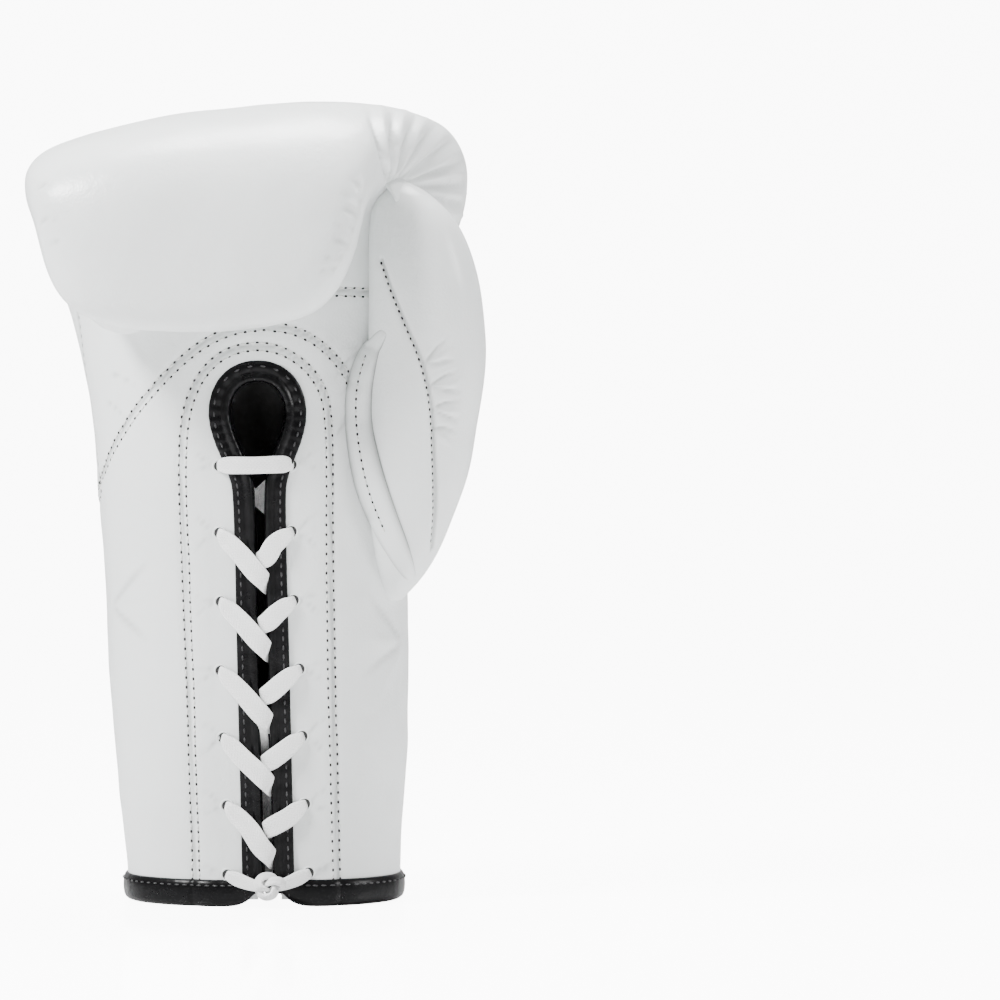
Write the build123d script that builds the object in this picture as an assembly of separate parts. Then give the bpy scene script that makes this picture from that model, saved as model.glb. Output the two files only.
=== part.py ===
from build123d import *
import os
from collections import namedtuple
from functools import cache
from math import copysign, cos, pi, radians, sin, tan

# A laced boxing glove for the right hand, standing on its cuff.
# The origin is the centre of the cuff's mouth, on the surface it stands on.
# +Z runs up the glove to the knuckles, -Y faces the laced palm side, +X points to the thumb.
# All sizes are in millimetres.

# ---------------------------------------------------------------- overall sizes
GLOVE_LENGTH = 300.0      # cuff hem to the top of the knuckles
CUFF_WIDTH = 101.0        # across the cuff's mouth
CUFF_DEPTH = 77.0         # palm side to back at the cuff's mouth
WRIST_HEIGHT = 120.0      # where the glove starts to widen
HAND_HEIGHT = 205.0       # top of the bare palm, just under the finger roll
ROLL_HEIGHT = 217.0       # lower end of the finger roll at its full depth
FIST_HEIGHT = 250.0       # where the fist is largest
FIST_PINKY_REACH = 85.0   # from the middle of the cuff to the pinky side of the fist
FIST_THUMB_REACH = 55.0   # to the index side of the fist
FIST_FRONT_REACH = 82.0   # from the middle of the cuff to the front of the finger roll
FIST_BACK_REACH = 51.0    # to the back of the hand
KNUCKLE_TILT = 0.10       # the knuckle line climbs this much for each millimetre towards the thumb
INDEX_SLANT = 0.36        # the index side of the fist runs outwards this much towards the back

# ---------------------------------------------------------------- materials' thicknesses
LEATHER = 1.2
LINING = 0.8
LAYER_GAP = 0.2           # glue line between one layer and the next
PALM_WALL = 7.0           # whole wall on the laced side
CUFF_WALL = 9.5           # whole wall at the sides of the cuff
BACK_WALL = 11.0          # whole wall at the back of the cuff
OUTER_FOAM = 13.0         # outer layer of the knuckle padding
SEAM_GAP = 0.15           # half of the gap between two panels at a seam

# ---------------------------------------------------------------- lacing
LACE_TILT = 1.16          # degrees that the lacing leans towards the pinky
LACE_FOOT = 3.0           # how far the foot of the lacing lies towards the thumb
LACE_GAP = 5.5            # between the two bound edges
KEYHOLE_RADIUS = 10.4
KEYHOLE_CENTRE = 179.5    # height of the keyhole's round end
KEYHOLE_THROAT = 165.0    # height where the keyhole has narrowed to the gap
BINDING_WIDTH = 6.8
BINDING_THICK = 1.2
BINDING_EDGE = 1.4        # binding that wraps the cut edge of the wall
PLACKET_HALF_WIDTH = 27.0
PLACKET_TOP = 207.0
EYELET_ROWS = 7
EYELET_PITCH = 25.0
FIRST_EYELET = 12.2       # height of the lowest eyelet
EYELET_RADIUS = 2.6
EYELET_HALF_SPACING = 14.0
LACE_RADIUS = 1.2
LACE_CLEARANCE = 0.6      # between the lace and what it passes over
LACE_LIFT = 2.4           # slack of the lace where it turns into the gap
LACE_DIP_NEAR = 11.0      # how far below its eyelet the lace on the thumb side enters the gap
LACE_DIP_FAR = 17.0       # and the lace on the pinky side
KNOT_CENTRE = 11.5        # height of the knot
KNOT_WIDTH = 11.0
KNOT_HEIGHT = 7.5
KNOT_DEPTH = 6.5
TAIL_TOP = 66.0           # height of the tucked lace end

# ---------------------------------------------------------------- seams
ARCH_RADIUS = 66.0        # the wrist panels end in a wide arch over the lacing
ARCH_CENTRE = 146.0
SIDE_SEAM_Y = -12.0       # where palm panels meet the fist cover at the side
BACK_SEAM_DROP = 65.0     # how much lower the seam lies at the back of the glove
BACK_PANEL_HALF = 34.0    # half width of the panel at the back of the cuff
CUFF_FOAM_TOP = 100.0

# ---------------------------------------------------------------- finger roll and grip
SLOT_PALM_Y = -48.0       # face of the palm inside the recess behind the roll
SLOT_WIDTH = 7.0
SLOT_TOP = 250.0
SLOT_PINKY_MARGIN = 12.0  # leather and padding left at the closed pinky end
GRIP_RADIUS = 6.0
GRIP_LENGTH = 52.0
GRIP_HEIGHT = 216.0
FINGER_SPACE = 14.5       # thickness of the space that the fingers curl into
FINGER_WALL = 5.0         # between that space and the recess
FINGER_PINKY_END = -60.0
FINGER_THUMB_END = 24.0
FINGER_FRONT_FOOT = 232.0 # how far down the space reaches inside the finger roll

# ---------------------------------------------------------------- hem
HEM_HEIGHT = 9.0
HEM_FLOOR = 1.6
HEM_THICK = 1.1

# ---------------------------------------------------------------- thumb
THUMB_CLEARANCE = 1.8     # free space round the thumb
THUMB_SKIN_SPLIT = 0.30   # the thumb's seam plane leans this much, x for each y
POCKET_HALF = 9.0         # half width of the space for the wearer's thumb
POCKET_FOOT = Vector(59.0, -28.0, 150.0)
POCKET_HEAD = Vector(58.0, -33.0, 236.0)
MOUTH_LOW = 140.0         # the opening from the hand space into the thumb
MOUTH_HIGH = 176.0
MOUTH_FRONT = -32.0
MOUTH_BACK = -17.0
GUSSET_THICK = 1.5
GUSSET_WIDTH = 9.0
LOCK_WIDTH = 12.0
LOCK_LENGTH = 30.0
LOCK_THICK = 1.8
LOCK_CLEARANCE = 0.8      # above the thumb's tip

FAR = 400.0               # longer than anything in the glove
RING_POINTS = 20

Level = namedtuple("Level", "height pinky thumb front back square slant tilt")
ThumbLevel = namedtuple("ThumbLevel", "height x y half_width half_depth")


# ================================================================ outlines
def outer_levels():
    """Horizontal outlines of the glove's outside, from the cuff to the knuckles."""
    half, deep = CUFF_WIDTH / 2, CUFF_DEPTH / 2
    mid = (WRIST_HEIGHT + HAND_HEIGHT) / 2
    top = GLOVE_LENGTH
    return [
        Level(0, half, half, deep, deep, 2.2, 0, 0),
        Level(WRIST_HEIGHT / 2, half + 5.5, half + 3, deep + 3, deep + 4, 2.2, 0, 0),
        Level(WRIST_HEIGHT, half + 9.5, half + 3, deep + 5.5, deep + 8, 2.3, 0, 0),
        Level(mid, half + 13, half - 1, deep + 7.5, deep + 11, 2.4, 0, 0),
        Level(HAND_HEIGHT, half + 20, half, deep + 8.5, FIST_BACK_REACH, 2.5, 0.1, 0),
        Level(ROLL_HEIGHT, FIST_PINKY_REACH - 8, FIST_THUMB_REACH - 4, FIST_FRONT_REACH - 10,
              FIST_BACK_REACH, 2.7, 0.3, 0),
        Level(FIST_HEIGHT, FIST_PINKY_REACH, FIST_THUMB_REACH, FIST_FRONT_REACH,
              FIST_BACK_REACH - 3, 3.0, INDEX_SLANT, KNUCKLE_TILT / 2),
        Level(top - 23, FIST_PINKY_REACH - 2, FIST_THUMB_REACH - 3, FIST_FRONT_REACH - 5,
              FIST_BACK_REACH - 15, 2.9, INDEX_SLANT, KNUCKLE_TILT),
        Level(top - 8, FIST_PINKY_REACH - 15, FIST_THUMB_REACH - 16, FIST_FRONT_REACH - 20,
              FIST_BACK_REACH - 38, 2.6, INDEX_SLANT, KNUCKLE_TILT),
        Level(top - 3, FIST_PINKY_REACH - 36, FIST_THUMB_REACH - 38, FIST_FRONT_REACH - 38,
              FIST_BACK_REACH - 58, 2.3, INDEX_SLANT, KNUCKLE_TILT),
    ]


def cavity_levels():
    """Horizontal outlines of the space for the hand. A negative back lies in front of the middle."""
    half, deep = CUFF_WIDTH / 2, CUFF_DEPTH / 2
    mid = (WRIST_HEIGHT + HAND_HEIGHT) / 2
    side = half - CUFF_WALL
    front = deep - PALM_WALL
    return [
        Level(-HEM_HEIGHT, side, side, front, deep - BACK_WALL, 2.2, 0, 0),
        Level(WRIST_HEIGHT / 2, side + 2, side + 1, front + 3, deep - BACK_WALL, 2.2, 0, 0),
        Level(WRIST_HEIGHT, side + 4, side + 1, front + 5.5, deep - BACK_WALL - 2, 2.3, 0, 0),
        Level(mid, side + 6, side - 7, front + 7.5, deep - BACK_WALL - 9, 2.4, 0, 0),
        Level(HAND_HEIGHT, side + 8, side - 9, front + 8, deep - BACK_WALL - 16, 2.4, 0, 0),
        Level(ROLL_HEIGHT + 12, side + 8, side - 10, front + 7.5, deep - BACK_WALL - 24, 2.4, 0, 0),
        Level(FIST_HEIGHT + 8, side, side - 12, front + 5, deep - BACK_WALL - 34, 2.3, 0, 0),
    ]


def thumb_levels():
    """Ellipses up the thumb, from where it leaves the wrist to its tip."""
    return [
        ThumbLevel(116, 51.5, -19, 4.0, 5.0),
        ThumbLevel(132, 54, -21, 13.0, 12.0),
        ThumbLevel(152, 56, -25, 18.0, 16.0),
        ThumbLevel(182, 58, -30, 21.0, 19.0),
        ThumbLevel(210, 60, -34, 20.5, 19.5),
        ThumbLevel(235, 57.5, -37, 19.5, 19.0),
        ThumbLevel(252, 54, -39, 16.0, 15.5),
        ThumbLevel(262, 51.5, -40, 9.0, 9.0),
    ]


def ring(level, grow, top_of_shape):
    """Closed outline of one level, moved outwards by grow. Heights above the widest level follow the top."""
    a = (level.pinky + level.thumb) / 2 + grow
    b = (level.front + level.back) / 2 + grow
    cx = (level.thumb - level.pinky) / 2
    cy = (level.back - level.front) / 2
    height = level.height
    if height > FIST_HEIGHT:
        share = (height - FIST_HEIGHT) / (top_of_shape - FIST_HEIGHT)
        height += grow * share
    points = []
    for k in range(RING_POINTS):
        angle = 2 * pi * k / RING_POINTS
        x = a * copysign(abs(cos(angle)) ** (2 / level.square), cos(angle))
        y = b * copysign(abs(sin(angle)) ** (2 / level.square), sin(angle))
        x += level.slant * y * max(0.0, x / a)
        points.append(Vector(cx + x, cy + y, height + level.tilt * (cx + x)))
    steps = [k / RING_POINTS for k in range(RING_POINTS + 1)]
    return Wire([Edge.make_spline(points, periodic=True, parameters=steps)])


@cache
def body_of_glove(grow):
    """Solid of the glove's outside without its thumb, grown or shrunk by grow."""
    rings = [ring(level, grow, GLOVE_LENGTH) for level in outer_levels()]
    fist_start = [level.height for level in outer_levels()].index(HAND_HEIGHT)
    return Solid.make_loft(rings[: fist_start + 1]) + Solid.make_loft(rings[fist_start:])


@cache
def hand_space(grow):
    """Solid of the space for the hand and fingers, grown by grow."""
    rings = [ring(level, grow, FIST_HEIGHT + 8) for level in cavity_levels()]
    palm = Solid.make_loft(rings, ruled=True)
    return palm + finger_space(grow)


def finger_space(grow):
    """Solid of the space where the fingers curl over the recess, grown by grow."""
    middle = SLOT_PALM_Y - SLOT_WIDTH / 2
    centre = SLOT_TOP - SLOT_WIDTH / 2
    inner = SLOT_WIDTH / 2 + FINGER_WALL - grow
    outer = SLOT_WIDTH / 2 + FINGER_WALL + FINGER_SPACE + grow
    foot = FINGER_FRONT_FOOT - grow
    width = outer - inner
    bend = Circle(outer) - Circle(inner) - Pos(0, -outer) * Rectangle(2 * outer, 2 * outer)
    leg = Rectangle(width, centre - foot)
    side = (outer + inner) / 2
    drop = (foot - centre) / 2
    face = Pos(middle, centre) * (bend + Pos(-side, drop) * leg + Pos(side, drop) * leg)
    plane = Plane(origin=(FINGER_PINKY_END - grow, 0, 0), x_dir=(0, 1, 0), z_dir=(1, 0, 0))
    return extrude(plane * face, amount=FINGER_THUMB_END - FINGER_PINKY_END + 2 * grow)


def thumb_shape(inset):
    """Solid of the thumb, shrunk by inset."""
    rings = []
    levels = thumb_levels()
    low, high = levels[0].height, levels[-1].height
    for level in levels:
        share = (level.height - low) / (high - low)
        height = level.height + inset * (1 - 2 * share)
        half_width = max(level.half_width - inset, 1.0)
        half_depth = max(level.half_depth - inset, 1.0)
        plane = Plane((level.x, level.y, height))
        rings.append((plane * Ellipse(half_width, half_depth)).wire())
    return Solid.make_loft(rings)


def block(x0, x1, y0, y1, z0, z1):
    """Box between two corners."""
    size = (x1 - x0, y1 - y0, z1 - z0)
    middle = ((x0 + x1) / 2, (y0 + y1) / 2, (z0 + z1) / 2)
    return Pos(*middle) * Box(*size)


# ================================================================ cutters
LACE_PLANE = Plane(
    origin=(LACE_FOOT, 0, 0),
    x_dir=(cos(radians(LACE_TILT)), 0, sin(radians(LACE_TILT))),
    z_dir=(0, -1, 0),
)
FRONT_PLANE = Plane(origin=(0, 0, 0), x_dir=(1, 0, 0), z_dir=(0, -1, 0))


def front_prism(face, plane=FRONT_PLANE):
    """A flat outline in x and z, run through the laced side of the glove."""
    return extrude(plane * face, amount=FAR / 2)


def keyhole_face(grow):
    """Outline of the keyhole and the gap below it, grown by grow."""
    half = LACE_GAP / 2 + grow
    low = -HEM_HEIGHT - 1
    gap = Pos(0, (low + KEYHOLE_CENTRE) / 2) * Rectangle(2 * half, KEYHOLE_CENTRE - low)
    eye = Pos(0, KEYHOLE_CENTRE) * Circle(KEYHOLE_RADIUS + grow)
    shoulder = KEYHOLE_CENTRE - (KEYHOLE_RADIUS + grow) * sin(radians(20))
    reach = (KEYHOLE_RADIUS + grow) * cos(radians(20))
    cone = Polygon(
        (-half, KEYHOLE_THROAT), (half, KEYHOLE_THROAT), (reach, shoulder), (-reach, shoulder), align=None
    )
    return (gap + eye + cone).face()


def placket_face(grow):
    """Outline of the facing that carries the eyelets, grown by grow."""
    half = PLACKET_HALF_WIDTH + grow
    centre = PLACKET_TOP - PLACKET_HALF_WIDTH
    low = -HEM_HEIGHT - 1
    straight = Pos(0, (low + centre) / 2) * Rectangle(2 * half, centre - low)
    return (straight + Pos(0, centre) * Circle(half)).face()


def arch_face(grow):
    """Outline of the wide arch that ends the wrist panels, grown by grow."""
    low = -HEM_HEIGHT - 1
    half = ARCH_RADIUS + grow
    straight = Pos(0, (low + ARCH_CENTRE) / 2) * Rectangle(2 * half, ARCH_CENTRE - low)
    return (straight + Pos(0, ARCH_CENTRE) * Circle(half)).face()


def below_back_seam(grow):
    """Everything under the sloping seam that runs round the back of the glove."""
    seam = ARCH_CENTRE + 13
    run = FIST_BACK_REACH - SIDE_SEAM_Y
    drop = BACK_SEAM_DROP / run
    far = FAR / 2
    outline = Polygon(
        (SIDE_SEAM_Y, -far),
        (far, -far),
        (far, seam + grow - drop * (far - SIDE_SEAM_Y)),
        (SIDE_SEAM_Y, seam + grow),
        align=None,
    )
    plane = Plane(origin=(-far, 0, 0), x_dir=(0, 1, 0), z_dir=(1, 0, 0))
    return extrude(plane * outline, amount=2 * far)


def recess(grow):
    """The recess between the finger roll and the palm, open towards the thumb."""
    low = HAND_HEIGHT - 15
    middle = SLOT_PALM_Y - SLOT_WIDTH / 2
    half = SLOT_WIDTH / 2 + grow
    top = SLOT_TOP - SLOT_WIDTH / 2
    face = Pos(middle, (low + top) / 2) * Rectangle(2 * half, top - low)
    face += Pos(middle, top) * Circle(half)
    start = SLOT_PINKY_MARGIN - FIST_PINKY_REACH - grow
    plane = Plane(origin=(start, 0, 0), x_dir=(0, 1, 0), z_dir=(1, 0, 0))
    return extrude(plane * face, amount=FAR / 2)


def thumb_mouth(grow=0.0):
    """The way from the hand space into the thumb."""
    levels = thumb_levels()
    return block(
        25, levels[2].x, MOUTH_FRONT - grow, MOUTH_BACK + grow, MOUTH_LOW - grow, MOUTH_HIGH + grow
    )


# ================================================================ the shell of the hand and fist
def one_part(shape):
    """The shape's solids as one object, without specks left by cutting."""
    solids = [s for s in shape.solids() if s.volume > 1.0]
    return solids[0] if len(solids) == 1 else Compound(children=solids)


def glove_volume(grow):
    """The glove's outside with the recess and the place of the thumb taken out."""
    return body_of_glove(grow) - recess(-grow) - thumb_shape(-THUMB_CLEARANCE + grow)


def build_shell(parts):
    """Leather panels, padding and lining of the hand and fist."""
    above_hem = block(-FAR, FAR, -FAR, FAR, HEM_FLOOR, FAR)
    lace_cut = front_prism(keyhole_face(BINDING_EDGE + LAYER_GAP), LACE_PLANE)
    eyelets = eyelet_holes()

    skin = (glove_volume(0) - glove_volume(-LEATHER)) & above_hem
    skin = skin - lace_cut - thumb_mouth() - hand_space(LINING)
    roll_face = SLOT_PALM_Y - SLOT_WIDTH / 2
    palm_side = block(-FAR, FAR, roll_face, SIDE_SEAM_Y, -FAR, HAND_HEIGHT + 3)
    palm_side += block(-FAR, FAR, roll_face, SLOT_PALM_Y + 3, -FAR, SLOT_TOP - 5)
    placket = front_prism(placket_face(-SEAM_GAP), LACE_PLANE)
    placket_room = front_prism(placket_face(SEAM_GAP), LACE_PLANE)
    parts["lace_placket"] = (skin & placket & palm_side) - eyelets

    arch = front_prism(arch_face(-SEAM_GAP)) & block(-FAR, FAR, -FAR, SIDE_SEAM_Y, -FAR, FAR)
    wrist = (arch & palm_side) + below_back_seam(-SEAM_GAP)
    arch_room = front_prism(arch_face(SEAM_GAP)) & block(-FAR, FAR, -FAR, SIDE_SEAM_Y, -FAR, FAR)
    wrist_room = arch_room + below_back_seam(SEAM_GAP)
    wrist_skin = (skin & wrist) - placket_room
    back = block(-BACK_PANEL_HALF, BACK_PANEL_HALF, 0, FAR, -FAR, FAR)
    back_room = block(-BACK_PANEL_HALF - 2 * SEAM_GAP, BACK_PANEL_HALF + 2 * SEAM_GAP, 0, FAR, -FAR, FAR)
    parts["cuff_back_panel"] = wrist_skin & back
    sides = wrist_skin - back_room
    parts["wrist_panel_pinky"] = sides & block(-FAR, 0, -FAR, FAR, -FAR, FAR)
    parts["wrist_panel_thumb"] = sides & block(0, FAR, -FAR, FAR, -FAR, FAR)

    palm_skin = (skin & palm_side) - wrist_room - placket_room
    parts["palm_panel"] = palm_skin
    parts["fist_cover"] = skin - palm_side - below_back_seam(SEAM_GAP)

    inner = LEATHER + LAYER_GAP
    foam = (glove_volume(-inner) - hand_space(LINING + LAYER_GAP)) & above_hem
    foam = foam - lace_cut - thumb_mouth() - eyelets
    low = foam & block(-FAR, FAR, -FAR, FAR, -FAR, CUFF_FOAM_TOP)
    high = foam & block(-FAR, FAR, -FAR, FAR, CUFF_FOAM_TOP + LAYER_GAP, FAR)
    parts["cuff_foam_back"] = low & back
    parts["cuff_foam_pinky"] = (low - back_room) & block(-FAR, 0, -FAR, FAR, -FAR, FAR)
    parts["cuff_foam_thumb"] = (low - back_room) & block(0, FAR, -FAR, FAR, -FAR, FAR)
    fist_floor = HAND_HEIGHT + 3
    hand_level = high & block(-FAR, FAR, -FAR, FAR, -FAR, fist_floor)
    fist_level = high & block(-FAR, FAR, -FAR, FAR, fist_floor + LAYER_GAP, FAR)
    front_half = block(-FAR, FAR, -FAR, SIDE_SEAM_Y, -FAR, FAR)
    back_half = block(-FAR, FAR, SIDE_SEAM_Y + LAYER_GAP, FAR, -FAR, FAR)
    parts["palm_foam"] = hand_level & front_half
    parts["backhand_foam"] = hand_level & back_half
    roll = block(-FAR, FAR, -FAR, roll_face, -FAR, FAR)
    behind_roll = block(-FAR, FAR, roll_face + LAYER_GAP, FAR, -FAR, FAR)
    parts["finger_foam"] = fist_level & roll
    knuckles = fist_level & behind_roll
    core = body_of_glove(-OUTER_FOAM)
    parts["knuckle_foam_outer"] = knuckles - core
    parts["knuckle_foam_inner"] = knuckles & body_of_glove(-OUTER_FOAM - LAYER_GAP)

    lining = (hand_space(LINING) - hand_space(0)) & above_hem
    parts["hand_lining"] = lining - lace_cut - thumb_mouth() - eyelets


def build_bindings(parts):
    """Black binding round the keyhole and gap, and round the cuff's mouth."""
    outside = body_of_glove(BINDING_THICK)
    wall = outside - hand_space(0)
    hole = front_prism(keyhole_face(0), LACE_PLANE)
    edge = front_prism(keyhole_face(BINDING_EDGE), LACE_PLANE) - hole
    band = front_prism(keyhole_face(BINDING_WIDTH), LACE_PLANE)
    band = band - front_prism(keyhole_face(BINDING_EDGE), LACE_PLANE)
    above_hem = block(-FAR, FAR, -FAR, FAR, HEM_HEIGHT + LAYER_GAP, FAR)
    binding = (wall & edge) + ((outside - body_of_glove(LAYER_GAP / 4)) & band)
    parts["keyhole_binding"] = (binding & above_hem) - eyelet_holes()

    ring_low = block(-FAR, FAR, -FAR, FAR, 0, HEM_HEIGHT)
    inside = hand_space(-HEM_THICK)
    channel = (body_of_glove(HEM_THICK) - inside) & ring_low
    wall_space = body_of_glove(LAYER_GAP / 4) - hand_space(-LAYER_GAP / 4)
    wall_space = wall_space & block(-FAR, FAR, -FAR, FAR, HEM_FLOOR - LAYER_GAP / 4, FAR)
    parts["cuff_hem_binding"] = channel - wall_space - hole - eyelet_holes()


# ================================================================ lacing
def lace_point(u, v):
    """x and z of a point at u across and v up the lacing."""
    angle = radians(LACE_TILT)
    return LACE_FOOT + u * cos(angle) - v * sin(angle), u * sin(angle) + v * cos(angle)


def eyelet_height(row):
    """Height of an eyelet row up the lacing, row 0 being the lowest."""
    return FIRST_EYELET + EYELET_PITCH * row


def eyelet_holes():
    """Holes for the lace, through the whole laced wall."""
    holes = []
    for row in range(EYELET_ROWS):
        for side in (-1, 1):
            holes.append(Pos(side * EYELET_HALF_SPACING, eyelet_height(row)) * Circle(EYELET_RADIUS))
    return front_prism(Sketch() + holes, LACE_PLANE)


def surface_y(solid, u, v):
    """How far forward a solid reaches at a point of the lacing."""
    x, z = lace_point(u, v)
    found = Axis((x, -FAR, z), (0, 1, 0))
    return min(p.Y for p, _ in solid.find_intersection_points(found))


def lace_route():
    """Corner points of the lace: up one side from the knot, across under the keyhole, down the other side."""
    outside = body_of_glove(BINDING_THICK)
    inside = hand_space(0)
    over = LACE_CLEARANCE + LACE_RADIUS

    def outer(u, v):
        x, z = lace_point(u, v)
        return Vector(x, surface_y(outside, u, v) - over, z)

    def inner(u, v):
        x, z = lace_point(u, v)
        return Vector(x, surface_y(inside, u, v) + over + LACE_LIFT / 2, z)

    half = EYELET_HALF_SPACING
    near_gap = LACE_GAP / 2 - LACE_RADIUS - 0.3

    def strand(first_side):
        """One half of the lace from the top row down to the lowest eyelet."""
        side = first_side
        points = [outer(side * half, eyelet_height(EYELET_ROWS - 1))]
        points.append(inner(side * half, eyelet_height(EYELET_ROWS - 1)))
        for row in range(EYELET_ROWS - 2, -1, -1):
            side = -side
            v = eyelet_height(row)
            points.append(inner(side * half, v))
            points.append(outer(side * half, v))
            if row:
                dip = LACE_DIP_NEAR if side > 0 else LACE_DIP_FAR
                points.append(outer(side * near_gap, v - dip) - Vector(0, LACE_LIFT, 0))
                points.append(inner(side * near_gap, v - dip - 1))
        last = points[-1]
        side_end = copysign(KNOT_WIDTH / 2 + LAYER_GAP, last.X)
        x, z = lace_point(side_end, KNOT_CENTRE)
        points.append(Vector(x, last.Y - KNOT_DEPTH / 2 + LACE_RADIUS, z))
        return points

    return strand(-1), strand(1)


def tail_route(knot_centre):
    """Corner points of the lace's spare end: from the knot through the gap, up inside, and out to its tip."""
    inside = hand_space(0)
    x, z = lace_point(0, KNOT_CENTRE)
    behind = surface_y(inside, 0, KNOT_CENTRE) + 4 * LACE_RADIUS
    points = [Vector(x, knot_centre.Y + KNOT_DEPTH / 2 + LAYER_GAP, z), Vector(x, behind, z)]
    x, z = lace_point(0, TAIL_TOP - 14)
    high = surface_y(inside, 0, TAIL_TOP - 14)
    points.append(Vector(x, high + 4 * LACE_RADIUS, z))
    x, z = lace_point(0, TAIL_TOP - 7)
    points.append(Vector(x, high - PALM_WALL / 2, z))
    x, z = lace_point(0, TAIL_TOP)
    points.append(Vector(x, high - PALM_WALL / 2 - 1, z))
    return points


def tube(points, radius):
    """Round cord along straight runs joined by arcs as large as their runs allow."""
    radii = []
    for before, here, after in zip(points, points[1:], points[2:]):
        turn = (here - before).get_angle(after - here)
        shorter = min((here - before).length, (after - here).length)
        radii.append(0.45 * shorter / tan(radians(turn) / 2))
    path = FilletPolyline(*points, radius=radii)
    plane = Plane(origin=path @ 0, z_dir=path % 0)
    length = path.length
    cord = sweep(plane * Circle(radius), path=path)
    share = cord.volume / (pi * radius**2 * length)
    print(f"cord {length:.0f} mm, smallest radius {min(radii):.1f} mm, volume share {share:.4f}")
    return cord


def build_lacing(parts):
    """The lace in its eyelets, its knot, and the end tucked into the gap."""
    left, right = lace_route()
    parts["lace"] = tube(list(reversed(left)) + right, LACE_RADIUS)
    centre = (left[-1] + right[-1]) * 0.5
    sizes = (KNOT_WIDTH / 2, KNOT_DEPTH / 2, KNOT_HEIGHT / 2)
    parts["lace_knot"] = Pos(*centre) * scale(Sphere(1), sizes)
    parts["lace_tail"] = tube(tail_route(centre), LACE_RADIUS)


# ================================================================ thumb
def thumb_seam_side(sign, gap):
    """Half space on one side of the thumb's seam: +1 outside the thumb, -1 the side that faces the palm."""
    middle = thumb_levels()[4]
    plane = Plane(
        origin=(middle.x - 4 + sign * gap, middle.y, 0),
        x_dir=(-THUMB_SKIN_SPLIT, 1, 0),
        z_dir=(sign, sign * THUMB_SKIN_SPLIT, 0),
    )
    return extrude(plane * Rectangle(2 * FAR, 2 * FAR), amount=FAR)


def build_thumb(parts):
    """The thumb's leather, padding and lining."""
    outer = thumb_shape(0)
    mouth = thumb_mouth()
    skin = outer - thumb_shape(LEATHER) - mouth
    parts["thumb_cover_outer"] = skin & thumb_seam_side(1, SEAM_GAP)
    parts["thumb_cover_inner"] = skin & thumb_seam_side(-1, SEAM_GAP)
    pocket = thumb_pocket(0)
    lining = thumb_pocket(LINING)
    inner = LEATHER + LAYER_GAP
    parts["thumb_foam"] = thumb_shape(inner) - thumb_pocket(LINING + LAYER_GAP) - mouth
    parts["thumb_lining"] = lining - pocket - mouth


def thumb_pocket(grow):
    """The space for the wearer's thumb, grown by grow."""
    reach = Vector(0, 0, grow)
    foot = Plane(POCKET_FOOT - reach) * Ellipse(0.78 * POCKET_HALF + grow, 0.72 * POCKET_HALF + grow)
    head = Plane(POCKET_HEAD + reach) * Ellipse(POCKET_HALF + grow, 0.9 * POCKET_HALF + grow)
    rings = [foot.wire(), head.wire()]
    return Solid.make_loft(rings)


def build_thumb_joint(parts):
    """The gusset between palm and thumb, and the tab that ties the thumb's tip to the fist."""
    shell = body_of_glove(GUSSET_THICK + LAYER_GAP) - body_of_glove(LAYER_GAP)
    line = Spline((52, 119), (36, 152), (31.5, 185), (44, 214))
    strip = front_prism(trace(line, GUSSET_WIDTH).face())
    strip = strip & block(-FAR, FAR, -FAR, SIDE_SEAM_Y, -FAR, HAND_HEIGHT)
    parts["thumb_gusset"] = (shell & strip) - thumb_shape(-THUMB_CLEARANCE)
    tip = thumb_levels()[-1]
    low = tip.height + LOCK_CLEARANCE
    tab = block(
        tip.x - LOCK_WIDTH, tip.x, tip.y - tip.half_depth / 2, tip.y + LOCK_LENGTH, low, low + LOCK_THICK
    )
    parts["thumb_lock_tab"] = tab - body_of_glove(LAYER_GAP)


def build_grip(parts):
    """The bar that the fingers close round."""
    y = GRIP_RADIUS - (CUFF_DEPTH / 2 - PALM_WALL) - 2
    bar = Pos(-8, y, GRIP_HEIGHT) * Rot(0, 90, 0) * Cylinder(GRIP_RADIUS, GRIP_LENGTH)
    parts["grip_bar"] = bar


def main():
    parts = {}
    build_shell(parts)
    build_bindings(parts)
    build_lacing(parts)
    build_thumb(parts)
    build_thumb_joint(parts)
    build_grip(parts)
    os.makedirs("parts", exist_ok=True)
    for name, shape in parts.items():
        export_step(one_part(shape), f"parts/{name}.step")


main()
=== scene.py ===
"""A white laced boxing glove with black binding, standing on its cuff on a pale floor."""
import logging
import math
from dataclasses import dataclass
from enum import Enum
from typing import Sequence

import bmesh
import bpy
import numpy as np
from mathutils import Matrix, Vector, noise
from mathutils.bvhtree import BVHTree


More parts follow.
